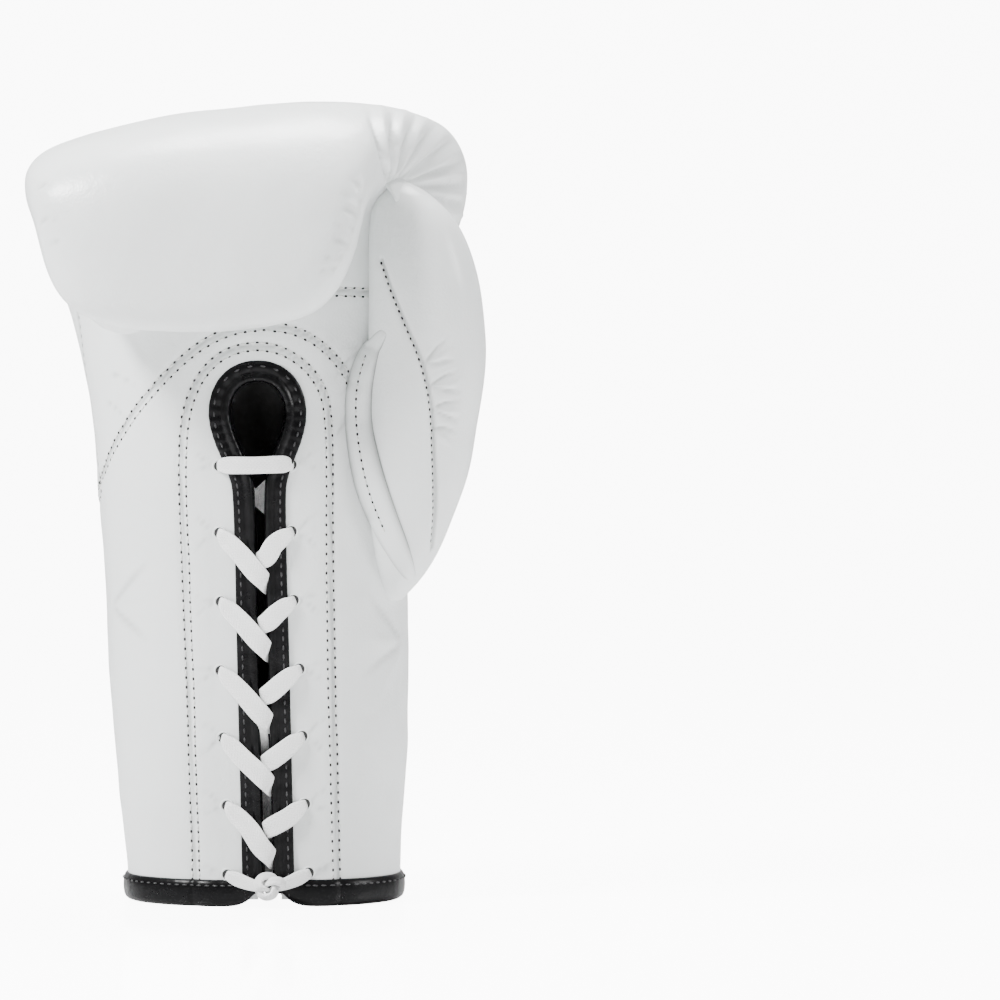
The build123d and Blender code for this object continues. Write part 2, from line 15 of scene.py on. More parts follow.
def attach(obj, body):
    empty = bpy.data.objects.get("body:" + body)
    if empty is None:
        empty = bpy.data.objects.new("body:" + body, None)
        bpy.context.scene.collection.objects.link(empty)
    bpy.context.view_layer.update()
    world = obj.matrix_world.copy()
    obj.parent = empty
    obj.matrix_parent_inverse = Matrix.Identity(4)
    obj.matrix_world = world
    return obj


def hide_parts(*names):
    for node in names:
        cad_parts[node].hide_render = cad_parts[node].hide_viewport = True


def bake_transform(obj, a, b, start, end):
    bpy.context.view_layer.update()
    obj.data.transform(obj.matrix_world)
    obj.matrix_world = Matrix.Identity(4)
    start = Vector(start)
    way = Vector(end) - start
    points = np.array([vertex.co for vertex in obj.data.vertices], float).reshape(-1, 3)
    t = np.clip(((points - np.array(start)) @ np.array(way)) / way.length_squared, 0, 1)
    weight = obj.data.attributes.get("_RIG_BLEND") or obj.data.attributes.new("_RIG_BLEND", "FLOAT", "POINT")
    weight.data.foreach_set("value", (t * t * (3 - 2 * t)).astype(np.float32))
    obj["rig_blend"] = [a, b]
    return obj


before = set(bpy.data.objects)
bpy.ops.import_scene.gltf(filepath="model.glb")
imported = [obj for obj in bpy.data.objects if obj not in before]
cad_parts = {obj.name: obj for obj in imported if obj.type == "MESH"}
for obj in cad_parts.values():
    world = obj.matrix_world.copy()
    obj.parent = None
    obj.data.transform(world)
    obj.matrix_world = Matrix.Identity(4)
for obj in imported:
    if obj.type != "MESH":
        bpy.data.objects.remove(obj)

Socket = bpy.types.NodeSocket
Material = bpy.types.Material
Piece = bpy.types.Object
Mesh = bmesh.types.BMesh
Colour = tuple[float, float, float]
Spot = tuple[float, float]
Line = Sequence[Vector]

LOG = logging.getLogger("glove")
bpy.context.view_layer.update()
MM = 0.001
FAR_OFF = 300.0
PALM_INSIDE = -12.0
ROLL_INSIDE = -54.5
LACE_TILT = math.radians(1.16)
LACE_FOOT = 3.0


class Body(Enum):
    """The CAD bodies that pieces ride on."""

    MITT = "mitt"
    THUMB = "thumb"


# ============================================================================ finishes
class Nodes:
    """Short hand for building one material's node tree."""

    def __init__(self, name: str) -> None:
        """Starts a material with an empty Principled shader.

        Args:
            name: the material's name.
        """
        self.material = bpy.data.materials.new(name)
        self.material.use_nodes = True
        self.tree = self.material.node_tree
        self.shader = self.tree.nodes["Principled BSDF"]
        self.place = self.add("ShaderNodeTexCoord").outputs["Object"]

    def add(self, kind: str, **settings: object) -> bpy.types.Node:
        """Adds a node and sets its properties.

        Args:
            kind: the node's type name.
            settings: properties of the node.
        Returns:
            The new node.
        """
        node = self.tree.nodes.new(kind)
        for key, value in settings.items():
            setattr(node, key, value)
        return node

    def link(self, start: Socket, end: Socket) -> None:
        """Joins two sockets."""
        self.tree.links.new(start, end)

    def noise(self, scale: float, detail: float = 3.0, rough: float = 0.55) -> Socket:
        """Value of a noise pattern in object space.

        Args:
            scale: how fine the pattern is.
            detail: how many finer layers it has.
            rough: how strong the finer layers are.
        Returns:
            The value, from 0 to 1.
        """
        node = self.add("ShaderNodeTexNoise")
        node.inputs["Scale"].default_value = scale
        node.inputs["Detail"].default_value = detail
        node.inputs["Roughness"].default_value = rough
        self.link(self.place, node.inputs["Vector"])
        return node.outputs["Fac"]

    def cells(self, scale: float, feature: str = "F1") -> Socket:
        """Distance value of a cell pattern in object space.

        Args:
            scale: how fine the pattern is.
            feature: what distance is taken.
        Returns:
            The distance.
        """
        node = self.add("ShaderNodeTexVoronoi", feature=feature)
        node.inputs["Scale"].default_value = scale
        self.link(self.place, node.inputs["Vector"])
        return node.outputs["Distance"]

    def spread(self, value: Socket, low: float, high: float) -> Socket:
        """Maps a value from 0 to 1 onto another range.

        Args:
            value: the value.
            low: what 0 becomes.
            high: what 1 becomes.
        Returns:
            The new value.
        """
        node = self.add("ShaderNodeMapRange")
        node.inputs["To Min"].default_value = low
        node.inputs["To Max"].default_value = high
        self.link(value, node.inputs["Value"])
        return node.outputs["Result"]

    def maths(self, kind: str, one: object, two: object = 0.0) -> Socket:
        """Result of a Math node on two sockets or numbers.

        Args:
            kind: the node's operation.
            one: its first socket or number.
            two: its second socket or number.
        Returns:
            The result.
        """
        node = self.add("ShaderNodeMath", operation=kind)
        for socket, value in zip(node.inputs, (one, two)):
            if isinstance(value, (int, float)):
                socket.default_value = value
            else:
                self.link(value, socket)
        return node.outputs[0]

    def blend(self, share: Socket, one: Sequence[float], two: Sequence[float]) -> Socket:
        """Colour between two others.

        Args:
            share: the share of two.
            one: the colour at 0.
            two: the colour at 1.
        Returns:
            The colour.
        """
        node = self.add("ShaderNodeMix", data_type="RGBA")
        node.inputs["A"].default_value = (*one, 1.0)
        node.inputs["B"].default_value = (*two, 1.0)
        self.link(share, node.inputs["Factor"])
        return node.outputs["Result"]

    def attribute(self, name: str) -> Socket:
        """Value of a mesh attribute."""
        return self.add("ShaderNodeAttribute", attribute_name=name).outputs["Fac"]

    def bump(self, height: Socket, depth: float, under: Socket | None = None,
             strength: float = 1.0) -> Socket:
        """Adds a bump over another normal.

        Args:
            height: the bump's height, from 0 to 1.
            depth: what a height of 1 is, in metres.
            under: the normal that it goes over.
            strength: the bump's strength.
        Returns:
            The new normal.
        """
        node = self.add("ShaderNodeBump")
        node.inputs["Strength"].default_value = strength
        node.inputs["Distance"].default_value = depth
        self.link(height, node.inputs["Height"])
        if under is not None:
            self.link(under, node.inputs["Normal"])
        return node.outputs["Normal"]

    def set(self, **values: float) -> None:
        """Sets constant sockets of the shader, with spaces written as underscores."""
        for key, value in values.items():
            self.shader.inputs[key.replace("_", " ")].default_value = value


@dataclass(frozen=True)
class LeatherFinish:
    """Smooth hide with a fine pebble grain, soft creases and painted shade in its seams and creases, mixed
    in where the mesh attribute seam is high.
    """

    name: str
    light: Colour
    dark: Colour
    # seam: colour of the painted shade that darkens seam grooves and fold creases
    seam: Colour
    gloss_low: float
    gloss_high: float
    grain: float
    grain_depth: float
    coat: float
    shine: float

    def make(self) -> Material:
        """Builds the material.

        Returns:
            The material.
        """
        n = Nodes(self.name)
        cloud = n.noise(14.0, 4.0)
        body = n.blend(n.spread(cloud, -0.3, 1.3), self.light, self.dark)
        # painted shade: the colour turns to the seam colour where the mesh attribute seam marks seam grooves
        # and fold creases
        mix = n.add("ShaderNodeMix", data_type="RGBA")
        n.link(n.attribute("seam"), mix.inputs["Factor"])
        n.link(body, mix.inputs["A"])
        mix.inputs["B"].default_value = (*self.seam, 1.0)
        n.link(mix.outputs["Result"], n.shader.inputs["Base Color"])
        n.link(n.spread(n.noise(60.0, 5.0), self.gloss_low, self.gloss_high), n.shader.inputs["Roughness"])
        soft = n.bump(n.noise(55.0, 3.0), 0.0009, strength=0.5)
        crease = n.bump(n.cells(170.0, "DISTANCE_TO_EDGE"), 0.0004, soft, 0.35)
        grain = n.bump(n.cells(self.grain), self.grain_depth, crease)
        pores = n.bump(n.noise(self.grain * 2.2, 2.0), self.grain_depth * 0.5, grain)
        n.link(pores, n.shader.inputs["Normal"])
        n.set(Coat_Weight=self.coat, Coat_Roughness=0.25, Specular_IOR_Level=self.shine)
        return n.material


@dataclass(frozen=True)
class ClothFinish:
    """Woven or knitted cloth that follows the piece's own along and across attributes, or object space."""

    name: str
    light: Colour
    dark: Colour
    along: float
    across: float
    depth: float
    rough: float
    sheen: float

    def make(self) -> Material:
        """Builds the material.

        Returns:
            The material.
        """
        n = Nodes(self.name)
        u = n.maths("MULTIPLY", n.attribute("along"), self.along)
        v = n.maths("MULTIPLY", n.attribute("across"), self.across)
        chevron = n.maths("PINGPONG", v, 1.0)
        rib = n.maths("SINE", n.maths("MULTIPLY", n.maths("ADD", u, chevron), 2 * math.pi))
        lane = n.maths("SINE", n.maths("MULTIPLY", v, 2 * math.pi))
        weave = n.maths("MULTIPLY", n.maths("ADD", rib, n.maths("MULTIPLY", lane, 0.5)), 0.33)
        height = n.maths("ADD", weave, 0.5)
        # painted shade: the colour is darker where the weave is low, mixed with random tone from noise
        shade = n.maths("ADD", n.maths("MULTIPLY", height, 0.7), n.maths("MULTIPLY", n.noise(160.0), 0.3))
        n.link(n.blend(shade, self.dark, self.light), n.shader.inputs["Base Color"])
        n.link(n.spread(n.noise(300.0), self.rough - 0.06, self.rough + 0.08), n.shader.inputs["Roughness"])
        fibre = n.bump(n.noise(2600.0, 2.0), 0.0001, strength=0.6)
        n.link(n.bump(height, self.depth, fibre), n.shader.inputs["Normal"])
        n.set(Sheen_Weight=self.sheen, Sheen_Roughness=0.4)
        return n.material


@dataclass(frozen=True)
class PlainFinish:
    """A finish for thread, the floor and the dark lumps of painted shade that stand for punched holes: one
    colour with a little unevenness.
    """

    name: str
    light: Colour
    dark: Colour
    rough: float
    scale: float
    depth: float
    glow: float = 0.0

    def make(self) -> Material:
        """Builds the material.

        Returns:
            The material.
        """
        n = Nodes(self.name)
        cloud = n.noise(self.scale)
        n.link(n.blend(cloud, self.light, self.dark), n.shader.inputs["Base Color"])
        n.link(n.spread(cloud, self.rough - 0.05, self.rough + 0.05), n.shader.inputs["Roughness"])
        n.link(n.bump(cloud, self.depth), n.shader.inputs["Normal"])
        if self.glow:
            n.shader.inputs["Emission Color"].default_value = (1.0, 1.0, 1.0, 1.0)
            seen = n.add("ShaderNodeLightPath").outputs["Is Camera Ray"]
            n.link(n.maths("MULTIPLY", seen, self.glow), n.shader.inputs["Emission Strength"])
        return n.material


# seam is the colour of the painted shade in seam grooves and fold creases
WHITE_LEATHER = LeatherFinish(
    "white leather", light=(0.8, 0.82, 0.815), dark=(0.74, 0.765, 0.757), seam=(0.1, 0.11, 0.105),
    gloss_low=0.26, gloss_high=0.38, grain=900.0, grain_depth=0.00006, coat=0.15, shine=0.4
)
BLACK_BINDING = LeatherFinish(
    "black binding", light=(0.002, 0.002, 0.0023), dark=(0.004, 0.004, 0.0044), seam=(0.001, 0.001, 0.001),
    gloss_low=0.22, gloss_high=0.34, grain=1400.0, grain_depth=0.00003, coat=0.0, shine=0.14
)
LACE_CLOTH = ClothFinish(
    "lace weave", light=(0.97, 0.97, 0.965), dark=(0.76, 0.77, 0.765), along=700.0, across=2.0,
    depth=0.00016, rough=0.7, sheen=0.3
)
SATIN = ClothFinish(
    "black satin", light=(0.008, 0.008, 0.009), dark=(0.003, 0.003, 0.0035), along=0.0, across=0.0,
    depth=0.00003, rough=0.32, sheen=0.1
)
WHITE_THREAD = PlainFinish(
    "white thread", light=(0.8, 0.8, 0.78), dark=(0.62, 0.62, 0.6), rough=0.6, scale=1500.0, depth=0.00005
)
BLACK_THREAD = PlainFinish(
    "black thread", light=(0.03, 0.03, 0.032), dark=(0.015, 0.015, 0.016), rough=0.45, scale=1500.0,
    depth=0.00005
)
# dark colour of the painted shade in needle holes and eyelet holes
NEEDLE_HOLE_SHADE = PlainFinish(
    "needle hole", light=(0.035, 0.035, 0.035), dark=(0.02, 0.02, 0.02), rough=0.9, scale=900.0,
    depth=0.00002
)
FLOOR = PlainFinish(
    "pale floor", light=(0.9, 0.9, 0.905), dark=(0.885, 0.885, 0.89), rough=0.08, scale=3.0,
    depth=0.000001, glow=9.0
)


# ============================================================================ mesh helpers
def power(value: float, exponent: float) -> float:
    """Signed power, which turns a circle into a rounded box."""
    return math.copysign(abs(value) ** exponent, value)


def skin_rings(rings: Sequence[Line]) -> Mesh:
    """Joins closed rings of equal count into a tube.

    Args:
        rings: points of each ring, in millimetres.
    Returns:
        The tube as a bmesh with attributes along and across on its vertices.
    """
    bm = bmesh.new()
    along = bm.verts.layers.float.new("along")
    across = bm.verts.layers.float.new("across")
    loops = []
    travel = 0.0
    before = None
    for points in rings:
        made = bmesh.ops.create_circle(bm, segments=len(points), radius=1.0)["verts"]
        middle = sum(points, Vector()) / len(points)
        travel += (middle - before).length if before is not None else 0.0
        before = middle
        for k, (vert, point) in enumerate(zip(made, points)):
            vert.co = point
            vert[along] = travel * MM
            vert[across] = abs(2.0 * k / len(points) - 1.0)
        loops.append(list({edge for vert in made for edge in vert.link_edges}))
    for one, two in zip(loops, loops[1:]):
        bmesh.ops.bridge_loops(bm, edges=one + two)
    return bm


def spline_blend(controls: np.ndarray, steps: Sequence[int], closed: bool) -> np.ndarray:
    """Samples of a uniform cubic B-spline along the first axis.

    Args:
        controls: control points, the line's direction first.
        steps: how many samples each gap between two control points takes.
        closed: whether the line is a loop.
    Returns:
        The samples, in the same layout as the control points.
    """
    if closed:
        line = np.concatenate([controls[-1:], controls, controls[:2]])
    else:
        first = 2 * controls[:1] - controls[1:2]
        last = 2 * controls[-1:] - controls[-2:-1]
        line = np.concatenate([first, controls, last])
    samples = []
    for k, count in enumerate(steps):
        p0, p1, p2, p3 = line[k:k + 4]
        for i in range(count):
            t = i / count
            samples.append(((1 - t) ** 3 * p0 + (3 * t ** 3 - 6 * t * t + 4) * p1
                            + (-3 * t ** 3 + 3 * t * t + 3 * t + 1) * p2 + t ** 3 * p3) / 6)
    if not closed:
        samples.append(controls[-1])
    return np.array(samples)


def fine_rings(rings: Sequence[Line], around: int, spacing: float) -> list[list[Vector]]:
    """Smooths a few coarse rings into many fine ones.

    Args:
        rings: the coarse rings.
        around: how many samples each gap round a ring takes.
        spacing: the wanted distance between two fine rings.
    Returns:
        The fine rings.
    """
    cage = np.array([[tuple(point) for point in ring] for ring in rings])
    smooth = spline_blend(cage.swapaxes(0, 1), [around] * cage.shape[1], True).swapaxes(0, 1)
    gaps = np.linalg.norm(np.diff(smooth, axis=0), axis=2).max(axis=1)
    steps = [max(1, int(gap / spacing)) for gap in gaps]
    return [[Vector(point) for point in ring] for ring in spline_blend(smooth, steps, False)]


def close_ends(bm: Mesh) -> None:
    """Fills every open end of a tube."""
    open_edges = [edge for edge in bm.edges if edge.is_boundary]
    bmesh.ops.holes_fill(bm, edges=open_edges, sides=0)


def finish_piece(bm: Mesh, name: str, material: Material, levels: int = 0,
                 keep_normals: bool = False) -> Piece:
    """Turns a bmesh in millimetres into a smooth object in metres.

    Args:
        bm: the mesh, which is freed.
        name: the object's name.
        material: its material.
        levels: levels of Subdivision Surface that are applied.
        keep_normals: whether faces already point the right way.
    Returns:
        The object, linked to the scene.
    """
    if not keep_normals:
        bmesh.ops.recalc_face_normals(bm, faces=bm.faces)
    for face in bm.faces:
        face.smooth = True
    bmesh.ops.scale(bm, vec=(MM, MM, MM), verts=bm.verts)
    mesh = bpy.data.meshes.new(name)
    bm.to_mesh(mesh)
    bm.free()
    piece = bpy.data.objects.new(name, mesh)
    bpy.context.scene.collection.objects.link(piece)
    piece.data.materials.append(material)
    if levels:
        smooth = piece.modifiers.new("smooth", "SUBSURF")
        smooth.levels = smooth.render_levels = levels
        apply_modifiers(piece)
    return piece


def apply_modifiers(piece: Piece) -> None:
    """Applies every modifier of a piece to its mesh.

    Args:
        piece: the piece, which is left without modifiers.
    """
    graph = bpy.context.evaluated_depsgraph_get()
    mesh = bpy.data.meshes.new_from_object(piece.evaluated_get(graph))
    old = piece.data
    piece.modifiers.clear()
    piece.data = mesh
    bpy.data.meshes.remove(old)


def report(piece: Piece, body: Body, *nodes: str) -> None:
    """Rides a piece on its body, names the solids it stands for, and logs it.

    Args:
        piece: the piece.
        body: its body.
        nodes: the solids.
    """
    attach(piece, body.value)
    if nodes:
        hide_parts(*nodes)
    LOG.info("%s: %d faces", piece.name, len(piece.data.polygons))


def span(piece: Piece, start: Sequence[float], end: Sequence[float], *nodes: str) -> None:
    """Stretches a piece between the mitt and the thumb, names the solids it stands for, and logs it.

    Args:
        piece: the piece.
        start: where it stops moving with the mitt alone.
        end: where it starts to move with the thumb alone.
        nodes: the solids.
    """
    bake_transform(piece, Body.MITT.value, Body.THUMB.value, start=start, end=end)
    if nodes:
        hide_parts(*nodes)
    LOG.info("%s: %d faces", piece.name, len(piece.data.polygons))


class Surface:
    """Answers where a form's skin is, in millimetres."""

    def __init__(self, *pieces: Piece) -> None:
        """Reads the pieces' meshes.

        Args:
            pieces: the pieces whose faces make the skin.
        """
        points: list[Vector] = []
        faces: list[list[int]] = []
        for piece in pieces:
            start = len(points)
            points += [vert.co / MM for vert in piece.data.vertices]
            faces += [[start + i for i in face.vertices] for face in piece.data.polygons]
        self.tree = BVHTree.FromPolygons(points, faces)

    def front(self, x: float, z: float, start: float = -FAR_OFF) -> tuple[Vector, Vector]:
        """Point and outward normal where a line from the palm side meets the skin.

        Args:
            x: how far to the thumb side the line runs.
            z: the line's height.
            start: where the line starts, palm side negative.
        Returns:
            The point and the normal.
        """
        point, normal, _, _ = self.tree.ray_cast(Vector((x, start, z)), Vector((0, 1, 0)))
        if point is None:
            point, normal, _, _ = self.tree.find_nearest(Vector((x, PALM_INSIDE, z)))
        return point, -normal if normal.y > 0 else normal

    def around(self, degrees: float, z: float) -> tuple[Vector, Vector]:
        """Point and outward normal at an angle round the glove.

        Args:
            degrees: the angle, 0 at the palm and 90 at the thumb side.
            z: the height.
        Returns:
            The point and the normal.
        """
        turn = math.radians(degrees)
        way = Vector((math.sin(turn), -math.cos(turn), 0))
        start = Vector((0.0, 2.0, z)) + way * FAR_OFF
        point, normal, _, _ = self.tree.ray_cast(start, -way)
        if point is None:
            point, normal, _, _ = self.tree.find_nearest(start)
        return point, -normal if normal.dot(way) < 0 else normal

    def nearest(self, place: Vector) -> tuple[Vector, Vector]:
        """Nearest point of the skin and its normal."""
        point, normal, _, _ = self.tree.find_nearest(place)
        return point, normal


def smooth_line(points: Sequence[Sequence[float]], count: int) -> list[Vector]:
    """Even samples of a smooth curve through points.

    Args:
        points: where the curve goes.
        count: how many samples.
    Returns:
        The samples, evenly spaced.
    """
    dense: list[Vector] = []
    corners = [Vector(p) for p in points]
    corners = [2 * corners[0] - corners[1], *corners, 2 * corners[-1] - corners[-2]]
    for p0, p1, p2, p3 in zip(corners, corners[1:], corners[2:], corners[3:]):
        for k in range(24):
            t = k / 24
            dense.append(0.5 * (2 * p1 + (p2 - p0) * t + (2 * p0 - 5 * p1 + 4 * p2 - p3) * t * t
                                + (3 * p1 - p0 - 3 * p2 + p3) * t ** 3))
    dense.append(corners[-2])
    lengths = [0.0]
    for one, two in zip(dense, dense[1:]):
        lengths.append(lengths[-1] + (two - one).length)
    result = []
    k = 0
    for i in range(count):
        want = lengths[-1] * i / (count - 1)
        while k < len(dense) - 2 and lengths[k + 1] < want:
            k += 1
        span = max(lengths[k + 1] - lengths[k], 1e-9)
        result.append(dense[k].lerp(dense[k + 1], min(1.0, (want - lengths[k]) / span)))
    return result


def length_of(points: Line) -> float:
    """Length of a run of points."""
    return sum((two - one).length for one, two in zip(points, points[1:]))


def way_at(points: Line, k: int) -> Vector:
    """Direction of travel at one point of a line."""
    return (points[min(k + 1, len(points) - 1)] - points[max(k - 1, 0)]).normalized()


def lace_place(u: float, v: float) -> tuple[float, float]:
    """x and z of a point at u across and v up the slightly tilted lacing."""
    x = LACE_FOOT + u * math.cos(LACE_TILT) - v * math.sin(LACE_TILT)
    return x, u * math.sin(LACE_TILT) + v * math.cos(LACE_TILT)


# ============================================================================ the mitt
@dataclass(frozen=True)
class Station:
    """One cross-section of the mitt, from a point on its palm side to one on its back."""

    inner: tuple[float, float]
    outer: tuple[float, float]
    pinky: float
    thumb_in: float
    thumb_out: float
    square: float = 2.3
    tilt: float = 0.0

    def ring(self, segments: int) -> list[Vector]:
        """Points of the section's outline.

        Args:
            segments: how many points.
        Returns:
            The points, in millimetres.
        """
        thumb = (self.thumb_in + self.thumb_out) / 2
        slant = (self.thumb_out - self.thumb_in) / 2
        half = (thumb + self.pinky) / 2
        centre = (thumb - self.pinky) / 2
        low, high = Vector((0, *self.inner)), Vector((0, *self.outer))
        points = []
        for k in range(segments):
            angle = 2 * math.pi * (k + 0.5) / segments
            side = power(math.cos(angle), 2 / self.square)
            share = power(math.sin(angle), 2 / self.square)
            point = (low + high) / 2 + (high - low) / 2 * share
            point.x = centre + half * side + slant * share * max(0.0, side)
            point.z += self.tilt * (point.x - 15.0) * (share + 1) / 2
            points.append(point)
        return points


@dataclass
class MittForm:
    """The hand and fist's leather: a tube that rises from the cuff and curls over into the finger roll."""

    segments: int = 48
    around: int = 5
    spacing: float = 1.7
    stations: tuple[Station, ...] = (
        Station((-38.5, 3.0), (38.5, 3.0), 50.5, 50.5, 50.5),
        Station((-38.8, 12.0), (38.8, 12.0), 51.2, 50.8, 50.8),
        Station((-39.6, 32.0), (40.0, 32.0), 53.5, 52.0, 52.0),
        Station((-41.0, 60.0), (42.0, 60.0), 56.0, 53.5, 53.5),
        Station((-42.5, 90.0), (44.5, 90.0), 58.2, 54.0, 54.0),
        Station((-44.0, 118.0), (46.5, 120.0), 59.6, 53.0, 54.0),
        Station((-45.0, 145.0), (48.0, 148.0), 61.0, 51.0, 54.0),
        Station((-46.0, 170.0), (49.5, 174.0), 63.5, 50.0, 54.0),
        Station((-46.6, 190.0), (50.5, 197.0), 66.5, 50.0, 56.0),
        Station((-47.0, 206.0), (51.0, 216.0), 70.0, 50.0, 62.0),
        Station((-47.4, 219.0), (50.5, 232.0), 74.5, 50.0, 72.0, 2.4),
        Station((-48.2, 231.0), (48.0, 248.0), 79.5, 49.0, 84.0, 2.5, 0.02),
        Station((-49.3, 240.0), (42.0, 265.0), 83.0, 47.0, 92.0, 2.6, 0.03),
        Station((-50.4, 245.5), (31.0, 280.5), 85.0, 45.0, 94.0, 2.6, 0.07),
        Station((-51.4, 248.0), (13.0, 291.8), 85.6, 43.0, 88.0, 2.6, 0.10),
        Station((-52.6, 249.0), (-12.0, 297.2), 85.6, 42.0, 74.0, 2.6, 0.12),
        Station((-54.0, 248.2), (-38.0, 296.2), 85.2, 41.0, 58.0, 2.6, 0.12),
        Station((-55.4, 246.0), (-60.0, 289.8), 84.4, 40.0, 48.0, 2.6, 0.10),
        Station((-56.2, 242.5), (-75.0, 278.5), 82.8, 39.5, 42.0, 2.6, 0.06),
        Station((-56.7, 238.0), (-82.5, 264.0), 80.0, 38.0, 39.0, 2.6, 0.02),
        Station((-57.2, 230.0), (-84.6, 247.0), 77.5, 35.5, 35.5, 2.5),
        Station((-58.0, 221.8), (-84.2, 231.5), 73.5, 30.0, 30.0, 2.4),
        Station((-60.0, 214.6), (-81.8, 219.0), 65.5, 21.0, 21.0, 2.2),
        Station((-64.0, 211.2), (-77.0, 212.4), 47.0, 5.0, 5.0, 2.0),
        Station((-68.6, 210.2), (-72.6, 210.4), 25.0, -11.0, -11.0, 2.0),
    )

    def build(self, material: Material) -> Piece:
        """Builds the smooth form, closed at the finger roll's lower end and open at the cuff.

        Args:
            material: the piece's material.
        Returns:
            The piece.
        """
        rings = [station.ring(self.segments) for station in self.stations]
        bm = skin_rings(fine_rings(rings, self.around, self.spacing))
        low = min(vert.co.z for vert in bm.verts)
        rim = [edge for edge in bm.edges if edge.is_boundary and edge.verts[0].co.z > low + 20]
        bmesh.ops.holes_fill(bm, edges=rim, sides=0)
        return finish_piece(bm, "mitt_leather", material)


@dataclass(frozen=True)
class ThumbStation:
    """One cross-section of the thumb."""

    z: float
    x: float
    y: float
    half_width: float
    half_depth: float

    def ring(self, segments: int) -> list[Vector]:
        """Points of the section's outline.

        Args:
            segments: how many points.
        Returns:
            The points, in millimetres.
        """
        turns = [2 * math.pi * (k + 0.5) / segments for k in range(segments)]
        return [Vector((self.x + self.half_width * power(math.cos(t), 0.92),
                        self.y + self.half_depth * power(math.sin(t), 0.92), self.z)) for t in turns]


@dataclass
class ThumbForm:
    """The leather form of the thumb."""

    segments: int = 32
    around: int = 6
    spacing: float = 0.9
    stations: tuple[ThumbStation, ...] = (
        ThumbStation(112, 46.5, -17.0, 5.0, 5.0),
        ThumbStation(121, 49.5, -18.5, 10.5, 10.0),
        ThumbStation(136, 53.0, -21.5, 15.5, 13.5),
        ThumbStation(155, 56.3, -25.0, 19.0, 16.5),
        ThumbStation(177, 59.0, -29.0, 21.2, 18.5),
        ThumbStation(198, 60.6, -32.0, 22.0, 19.5),
        ThumbStation(216, 61.0, -34.5, 21.7, 19.8),
        ThumbStation(232, 59.8, -36.5, 20.4, 19.2),
        ThumbStation(246, 57.3, -38.0, 17.8, 17.0),
        ThumbStation(256, 54.6, -39.0, 14.0, 13.6),
        ThumbStation(262.5, 52.4, -39.5, 9.0, 9.0),
        ThumbStation(265.5, 51.4, -39.8, 3.5, 3.5),
    )

    def build(self, material: Material) -> Piece:
        """Builds the smooth form, closed at both ends.

        Args:
            material: the piece's material.
        Returns:
            The piece.
        """
        rings = [station.ring(self.segments) for station in self.stations]
        bm = skin_rings(fine_rings(rings, self.around, self.spacing))
        close_ends(bm)
        return finish_piece(bm, "thumb_leather", material)


# ============================================================================ stage
@dataclass(frozen=True)
class SoftBox:
    """One square lamp aimed at the glove."""

    name: str
    place: tuple[float, float, float]
    size: float
    watts: float
    aim: tuple[float, float, float] = (0.0, 0.0, 0.15)

    def build(self) -> None:
        """Hangs the lamp."""
        light = bpy.data.lights.new(self.name, "AREA")
        light.size = self.size
        light.energy = self.watts
        lamp = bpy.data.objects.new(self.name, light)
        place = Vector(self.place)
        lamp.location = place
        lamp.rotation_euler = (Vector(self.aim) - place).to_track_quat("-Z", "Y").to_euler()
        bpy.context.scene.collection.objects.link(lamp)


@dataclass
class Studio:
    """Floor, light and camera, in metres."""

    centre_x: float = 0.0877
    centre_z: float = 0.1485
    distance: float = 2.0
    width: float = 0.3731
    elevation: float = 1.5
    sensor: float = 36.0
    floor_front: float = 3.0
    floor_travel: float = 7.0
    floor_half_width: float = 4.0
    bend_start: float = 1.6
    bend_radius: float = 0.8
    surround: float = 0.5
    lamps: tuple[SoftBox, ...] = (
        SoftBox("key", (-1.0, -0.7, 1.25), 0.4, 66.0),
        SoftBox("fill", (1.4, -0.4, 0.6), 0.4, 14.0),
        SoftBox("top", (0.1, 0.25, 1.3), 0.6, 36.0),
    )

    def build(self) -> None:
        """Builds the whole stage."""
        self.floor()
        for lamp in self.lamps:
            lamp.build()
        self.world()
        self.camera()

    def floor(self) -> None:
        """A wide floor that curves up behind the glove."""
        bm = bmesh.new()
        bmesh.ops.create_grid(bm, x_segments=2, y_segments=40, size=1.0)
        arc = math.pi / 2 * self.bend_radius
        for vert in bm.verts:
            travel = (vert.co.y + 1.0) / 2 * self.floor_travel - self.floor_front
            past = travel - self.bend_start
            turn = max(0.0, min(past, arc)) / self.bend_radius
            rise = max(0.0, past - arc)
            vert.co.x *= self.floor_half_width
            vert.co.y = min(travel, self.bend_start) + self.bend_radius * math.sin(turn)
            vert.co.z = self.bend_radius * (1 - math.cos(turn)) + rise
        bmesh.ops.scale(bm, vec=(1000, 1000, 1000), verts=bm.verts)
        finish_piece(bm, "floor", FLOOR.make())

    def world(self) -> None:
        """An even white surround."""
        world = bpy.data.worlds.new("surround")
        world.use_nodes = True
        background = world.node_tree.nodes["Background"]
        background.inputs["Color"].default_value = (1.0, 1.0, 1.0, 1.0)
        background.inputs["Strength"].default_value = self.surround
        bpy.context.scene.world = world

    def camera(self) -> None:
        """A long lens, a little above the glove and to its thumb side."""
        data = bpy.data.cameras.new("camera")
        data.sensor_width = self.sensor
        data.lens = self.sensor * self.distance / self.width
        camera = bpy.data.objects.new("camera", data)
        tilt = math.radians(self.elevation)
        camera.location = (self.centre_x, -self.distance * math.cos(tilt),
                           self.centre_z + self.distance * math.sin(tilt))
        camera.rotation_euler = (math.pi / 2 - tilt, 0.0, 0.0)
        bpy.context.scene.collection.objects.link(camera)
        bpy.context.scene.camera = camera


